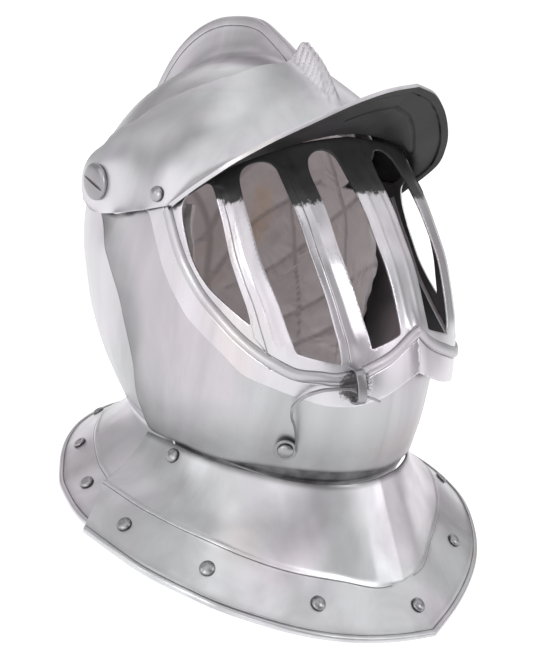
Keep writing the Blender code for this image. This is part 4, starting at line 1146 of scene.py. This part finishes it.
def turned(name, profile, place, normal, body, material, node=None, slot="rivet_steel",
           sides=48, dark_foot=0):
    """Turned piece from (radius, height) rows, standing on a point along a normal."""
    rings, shade = [], []
    for k, (r, h) in enumerate(profile):
        rings.extend((r * math.cos(a), r * math.sin(a), h) for a in circle(sides))
        # Painted shade: with dark_foot the lowest rows are darkened towards the plate, the shade
        # round the foot of the head.
        shade += [0.9 * max(0.0, 1 - k / dark_foot) if dark_foot else 0.0] * sides
    axis = unit(np.array(normal, float))
    u = unit(np.cross(axis, (0.0, 0.3, 1.0)))
    pts = np.array(rings) @ np.stack([u, np.cross(axis, u), axis]) + np.array(place)
    obj = closed_bar(name, pts.reshape(len(profile), sides, 3), body, material,
                     [node] if node else (), {"shade": shade})
    tidy(obj, merge=1e-6, sharp=35)
    normals_out(obj)
    return obj


def dome(radius, height, base=CLEAR):
    """Profile of a domed head with a small rounded foot."""
    rows = [(radius * 0.94, base), (radius, base + 0.25)]
    rows += [(radius * math.cos(a), base + 0.25 + (height - base - 0.25) * math.sin(a))
             for a in np.radians(np.linspace(8, 86, 14))]
    return rows


def rivet(name, spot, mirror, body, node):
    """Domed head on a plate, at a point and normal of its left half."""
    turned(name, dome(*FLANGE_RIVET), spot[0] * mirror, spot[1] * mirror, body, RIVETS, node,
           dark_foot=6)


def seat(rows, f, first, last):
    """Point and outward normal halfway between two columns of a collar, where it reaches f."""
    mids = [(r[first] + r[last]) / 2 for r in rows]
    k = next((i for i in range(len(mids) - 2) if mids[i + 1][1] <= f), len(mids) - 2)
    t = min(max((mids[k][1] - f) / (mids[k][1] - mids[k + 1][1]), 0), 1)
    slope = rows[k][last] - rows[k][first] + (rows[k + 1][last] - rows[k + 1][first])
    return mids[k] + (mids[k + 1] - mids[k]) * t, unit(np.cross(mids[k + 1] - mids[k], slope))


def on_half(rows, f, z):
    """Point and outward normal of a half plate nearest to f and z seen from the side."""
    gap = np.hypot(rows[..., 1] - f, rows[..., 2] - z)
    i, j = np.unravel_index(np.argmin(gap), gap.shape)
    i, j = min(max(i, 1), rows.shape[0] - 2), min(max(j, 1), rows.shape[1] - 2)
    n = unit(np.cross(rows[i + 1, j] - rows[i - 1, j], rows[i, j + 1] - rows[i, j - 1]))
    n, p = facing(n), rows[i, j].copy()
    p[0] -= (n[1] * (f - p[1]) + n[2] * (z - p[2])) / n[0]
    p[1], p[2] = f, z
    return p, n


def build_pivot(side, sign):
    """Slotted screw head, its nut inside the skull and the shank between them."""
    r, h = PIVOT_HEAD
    base = FLAT["fall"] + CLEAR
    nut = FLAT["skull"] - SHEET - 2 * CLEAR
    place = (0, 0, 0), (sign, 0, 0), "skull", RIVETS
    head = [(r * 0.97, base), (r, base + 0.35), (r, base + 1.0)]
    head += [(r * math.cos(a) ** 0.8, base + 1.0 + (h - 1.0) * math.sin(a))
             for a in np.radians(np.linspace(12, 86, 16))]
    screw = turned("pivot_screw_head_" + side, head, *place, "pivot_screw_" + side, sides=72)
    cut = bmesh.new()
    bmesh.ops.create_cube(cut, size=1.0)
    mesh = bpy.data.meshes.new("slot_" + side)
    cut.to_mesh(mesh)
    cut.free()
    knife = add_object("slot_" + side, mesh)
    mesh.transform(LAY_BACK @ Matrix.Translation((sign * (base + h) * MM, 0, 0))
                   @ Matrix.Rotation(math.radians(-SLOT_TURN * sign), 4, "X")
                   @ Matrix.Diagonal((*[v * MM for v in SLOT_SIZE], 1)))
    knife.hide_render = True
    knife.display_type = "WIRE"
    cutting = screw.modifiers.new("slot", "BOOLEAN")
    cutting.object, cutting.operation, cutting.solver = knife, "DIFFERENCE", "EXACT"
    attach(knife, "skull")
    turned("pivot_nut_" + side, [(5.3, nut - 2.2), (5.6, nut - 1.9), (5.6, nut - 0.2), (5.3, nut)],
           *place, sides=6)
    turned("pivot_shank_" + side, [(3.0, nut - 0.5), (3.0, base + 0.5)], *place)


def build_hook(shell):
    """Hook on the near side of the chin: blade, eye and the rivet it turns on."""
    angle, z = HOOK_RIVET
    place = shell.point(angle, z)
    normal = facing(unit(np.cross(shell.point(angle + 3, z) - place,
                                  shell.point(angle, z + 3) - place)))
    ahead = unit(np.array([-normal[1], normal[0], 0]))
    upward = facing(np.cross(normal, ahead), 2)
    normal = unit(normal + ahead * math.tan(math.radians(HOOK_LEAN[0]))
                  - upward * math.tan(math.radians(HOOK_LEAN[1])))
    finish = steel("hook_steel", 0.28, tone=0.62, brush=(1, 1, 1))
    build_hook_blade(finish)
    r_out, r_in, thick = HOOK_EYE
    foot, top = HOOK_STANDS, HOOK_STANDS + thick
    on = place * MIRROR, normal * MIRROR
    turned("hook_eye", [(r_in, foot), (r_out - 0.3, foot), (r_out, foot + 0.3), (r_out, top - 0.3),
                        (r_out - 0.3, top), (r_in, top), (r_in, foot)],
           *on, "hook", finish, "hook", "plate_steel", sides=64)
    turned("hook_rivet_dome", [(2.0, 0.9)] + dome(4.6, top + 2.8, top + CLEAR), *on, "bevor",
           RIVETS, "hook_rivet", dark_foot=6)


# ---------------------------------------------------------------- lining

SEAM_ROWS = [[(-78, -73), (-70, -69), (-59, -52), (-40, -29), (-7, -14), (20, -6)],
             [(-88, -48), (-70.6, -39), (-59, -20), (-40, 4), (-10, 20)],
             [(-60, -76), (-34.5, -65), (-4.6, -48), (24, -32), (50, -20)],
             [(-50, -110), (-18.6, -99), (12.4, -86), (44, -72), (66, -64)],
             [(-60, -126), (-30, -124), (0, -116), (30, -104), (52, -94)]]
UPRIGHT_SEAMS = [[(-65, -4), (-66, -36), (-70, -70), (-66, -110)],
                 [(-12, 30), (-10, -10), (-14, -52), (-10, -94), (-6, -140)],
                 [(34, 20), (34, -20), (30, -60), (28, -100), (26, -140)]]


def seam_gap(f, z):
    """Distance of points of the lining to the nearest seam, seen from the side."""
    best = np.full(f.shape, 60.0)
    for line in SEAM_ROWS + UPRIGHT_SEAMS:
        pts = resample(line, 40)
        for a, b in zip(pts, pts[1:]):
            d = b - a
            t = np.clip(((f - a[0]) * d[0] + (z - a[1]) * d[1]) / (d @ d), 0, 1)
            best = np.minimum(best, np.hypot(f - a[0] - t * d[0], z - a[1] - t * d[1]))
    return best


def build_liner():
    """Quilted lining: padded fields between sewn lines, gathered along them."""
    base, _ = fan_grid(LINER_EDGE, *GRID["liner"], comb=False, inset=LINER_INSET + LINER_THICK)
    n = unit(np.cross(np.gradient(base, axis=0), np.gradient(base, axis=1)))
    away = base - np.array([0, 0, -60.0])
    n *= np.where(np.sum(n * away, axis=-1, keepdims=True) > 0, 1, -1)
    n[:, -2:] = (1, 0, 0)
    f, z = base[..., 1], base[..., 2]
    gap = seam_gap(f, z)
    rng = np.random.default_rng(5)
    ripple = np.zeros_like(f)
    for _ in range(22):
        k, turn, phase = rng.uniform(0.12, 0.42), rng.uniform(0, math.pi), rng.uniform(0, 6.3)
        ripple += np.sin(k * (f * math.cos(turn) + z * math.sin(turn)) + phase) / 22
    puff = 1 - np.exp(-gap / 5.0)
    gather = 0.5 * np.sin(0.95 * f + 0.4 * z + 14 * ripple) * np.exp(-((gap - 4.5) / 4.5) ** 2)
    inward = np.clip(PUFF * puff + RIPPLE * ripple * puff + gather - SUNK, -2.0, 2.2)
    inner = base - n * inward[..., None]
    inner[..., 0] = np.where(base[..., 0] < 1e-3, 0.0, np.maximum(inner[..., 0], 0.0))
    obj = plate("liner_quilt", inner, {"seam": gap}, "skull", linen("liner_linen"), ["liner"],
                thickness=LINER_SHEET, edge=LINER_ROUND)
    obj.modifiers["sheet"].offset = 1
    obj.modifiers["sheet"].use_even_offset = False


# ---------------------------------------------------------------- the helmet

face = Sections(FACE, FACE_POWER, KEEL)
chin = Sections(CHIN, CHIN_POWER, layer="bevor")
lame = Sections([(z, w - LAYER, f - LAYER) for z, w, f in CHIN], CHIN_POWER, layer="bevor")

build_skull()
build_fall()
build_visor(face)
build_bead(face)
build_staple(face)
build_bevor(chin)
build_lame(lame)

f_neck, z_neck = np.array([(1e3 if f is None else f, z) for f, z in FRONT_NECK], float).T
front_neck = chin.point(np.where(f_neck > 900, 0.0, chin.angle(f_neck, z_neck)), z_neck, 0.6)
rear_neck = [(float(skull_half_width(f, z, 3.8)), f, z) for f, z in REAR_NECK]
rear_neck.append((0, float(SKULL_BACK(-133.5)) + 3.8, -133.5))
collars = {"front": collar_grid(front_neck, FRONT_STEP, FRONT_RIM, GRID["collar_front"]),
           "rear": collar_grid(rear_neck, REAR_STEP, REAR_RIM, GRID["collar_rear"],
                               REAR_TUCK)}
for part, (grid, fields) in collars.items():
    build_collar("collar_" + part, grid, fields, "bevor" if part == "front" else "skull")

MID_BAND = FLARE_STEPS + BAND_STEPS // 2 - 2
mid_band = MID_BAND - 2, MID_BAND + 2
front_band, rear_band = collars["front"][0], collars["rear"][0]
ear = fall_half(1)[1][0]
for side, sign in (("left", 1), ("right", -1)):
    m = np.array([sign, 1, 1])
    for part, band, body, places in (("front", front_band, "bevor", FRONT_RIVET_F),
                                     ("rear", rear_band, "skull", REAR_RIVET_F)):
        for n, f in enumerate(places, 1):
            name = f"{part}_rivet_{n}_{side}"
            rivet(name + "_dome", seat(band, f, *mid_band), m, body, name)
    rivet("neck_stud_dome_" + side, seat(front_band, NECK_STUD_F, 3, 7), m, "bevor",
          "neck_stud_" + side)
    rivet("brow_rivet_dome_" + side, on_half(ear, *BROW_RIVET), m, "fall", "brow_rivet_" + side)
    build_pivot(side, sign)
rivet("front_rivet_centre_dome", seat(front_band, front_band[0][MID_BAND][1], *mid_band),
      np.array([0, 1, 1]), "bevor", "front_rivet_centre")
build_hook(chin)
build_liner()

# ---------------------------------------------------------------- stage

FLOOR_REACH, FLOOR_GLOW, SKY = 30.0, 0.80, 0.42
WHITE = (1, 1, 1, 1)
floor_mesh = bpy.data.meshes.new("floor")
floor_mesh.from_pydata([(x * FLOOR_REACH, y * FLOOR_REACH, 0)
                        for x, y in ((-1, -1), (1, -1), (1, 1), (-1, 1))], [], [(0, 1, 2, 3)])
floor = add_object("floor", floor_mesh)
paper = Shader("floor_paper")
grain = paper.mix(paper.noise(4, 2.0), (0.50, 0.50, 0.50), (0.53, 0.53, 0.53))
floor_mesh.materials.append(paper.finish({
    "Base Color": grain, "Roughness": 0.9, "Specular IOR Level": 0.1, "Emission Color": WHITE,
    "Emission Strength": FLOOR_GLOW}))

world = bpy.data.worlds.new("studio")
bpy.context.scene.world = world
world.use_nodes = True
sky = world.node_tree.nodes["Background"]
sky.inputs["Color"].default_value = WHITE
sky.inputs["Strength"].default_value = SKY

# Soft square lamps round the helmet: bearing from its front, height, size, power.
LAMPS = [(44, 14, 0.9, 3.2), (78, 14, 0.7, 7.0), (112, 14, 0.8, 3.4), (-40, 14, 0.7, 2.2),
         (-24, 38, 0.7, 4.6), (66, 40, 0.9, 1.8), (104, 44, 0.9, 2.2), (-70, 42, 0.9, 1.8),
         (0, 66, 0.9, 1.8), (90, 66, 0.9, 1.8), (180, 62, 0.9, 2.4), (-90, 66, 0.9, 1.6),
         (0, 88, 0.9, 1.2), (205, 30, 0.9, 1.8), (245, 30, 0.9, 1.8), (160, 28, 0.9, 1.2)]
LAMP_DISTANCE, LAMP_AIM = 2.0, Vector((0, 0, 0.15))
for number, (bearing, height, size, power) in enumerate(LAMPS):
    a, e = math.radians(bearing), math.radians(height)
    toward = Vector((-math.sin(a) * math.cos(e), -math.cos(a) * math.cos(e), math.sin(e)))
    lamp = bpy.data.lights.new(f"lamp_{number}", "AREA")
    lamp.shape, lamp.size, lamp.energy = "SQUARE", size, power
    stand = add_object(lamp.name, lamp)
    stand.location = LAMP_AIM + toward * LAMP_DISTANCE
    stand.rotation_mode = "QUATERNION"
    stand.rotation_quaternion = (-toward).to_track_quat("-Z", "Y")

# Camera of the photograph: its place, its axes and its focal length in pixels.
EYE = Vector((-441.6, -496.3, -42.6)) * MM
RIGHT, UP, VIEW = (0.7092, -0.6996, -0.0878), (0.1229, 0.0, 0.9924), (0.6943, 0.7146, -0.0860)
SENSOR, FOCAL, PICTURE_LONG_SIDE = 36.0, 1000, 650
seen = Matrix([(RIGHT[i], UP[i], -VIEW[i], EYE[i]) for i in range(3)] + [(0, 0, 0, 1)])
camera = bpy.data.cameras.new("camera")
camera.sensor_width, camera.clip_start = SENSOR, 0.01
camera.lens = FOCAL * SENSOR / PICTURE_LONG_SIDE
eye = add_object("camera", camera)
eye.matrix_world = LAY_BACK @ seen
bpy.context.scene.camera = eye
bpy.context.scene.view_settings.view_transform = "Standard"

bpy.context.view_layer.update()
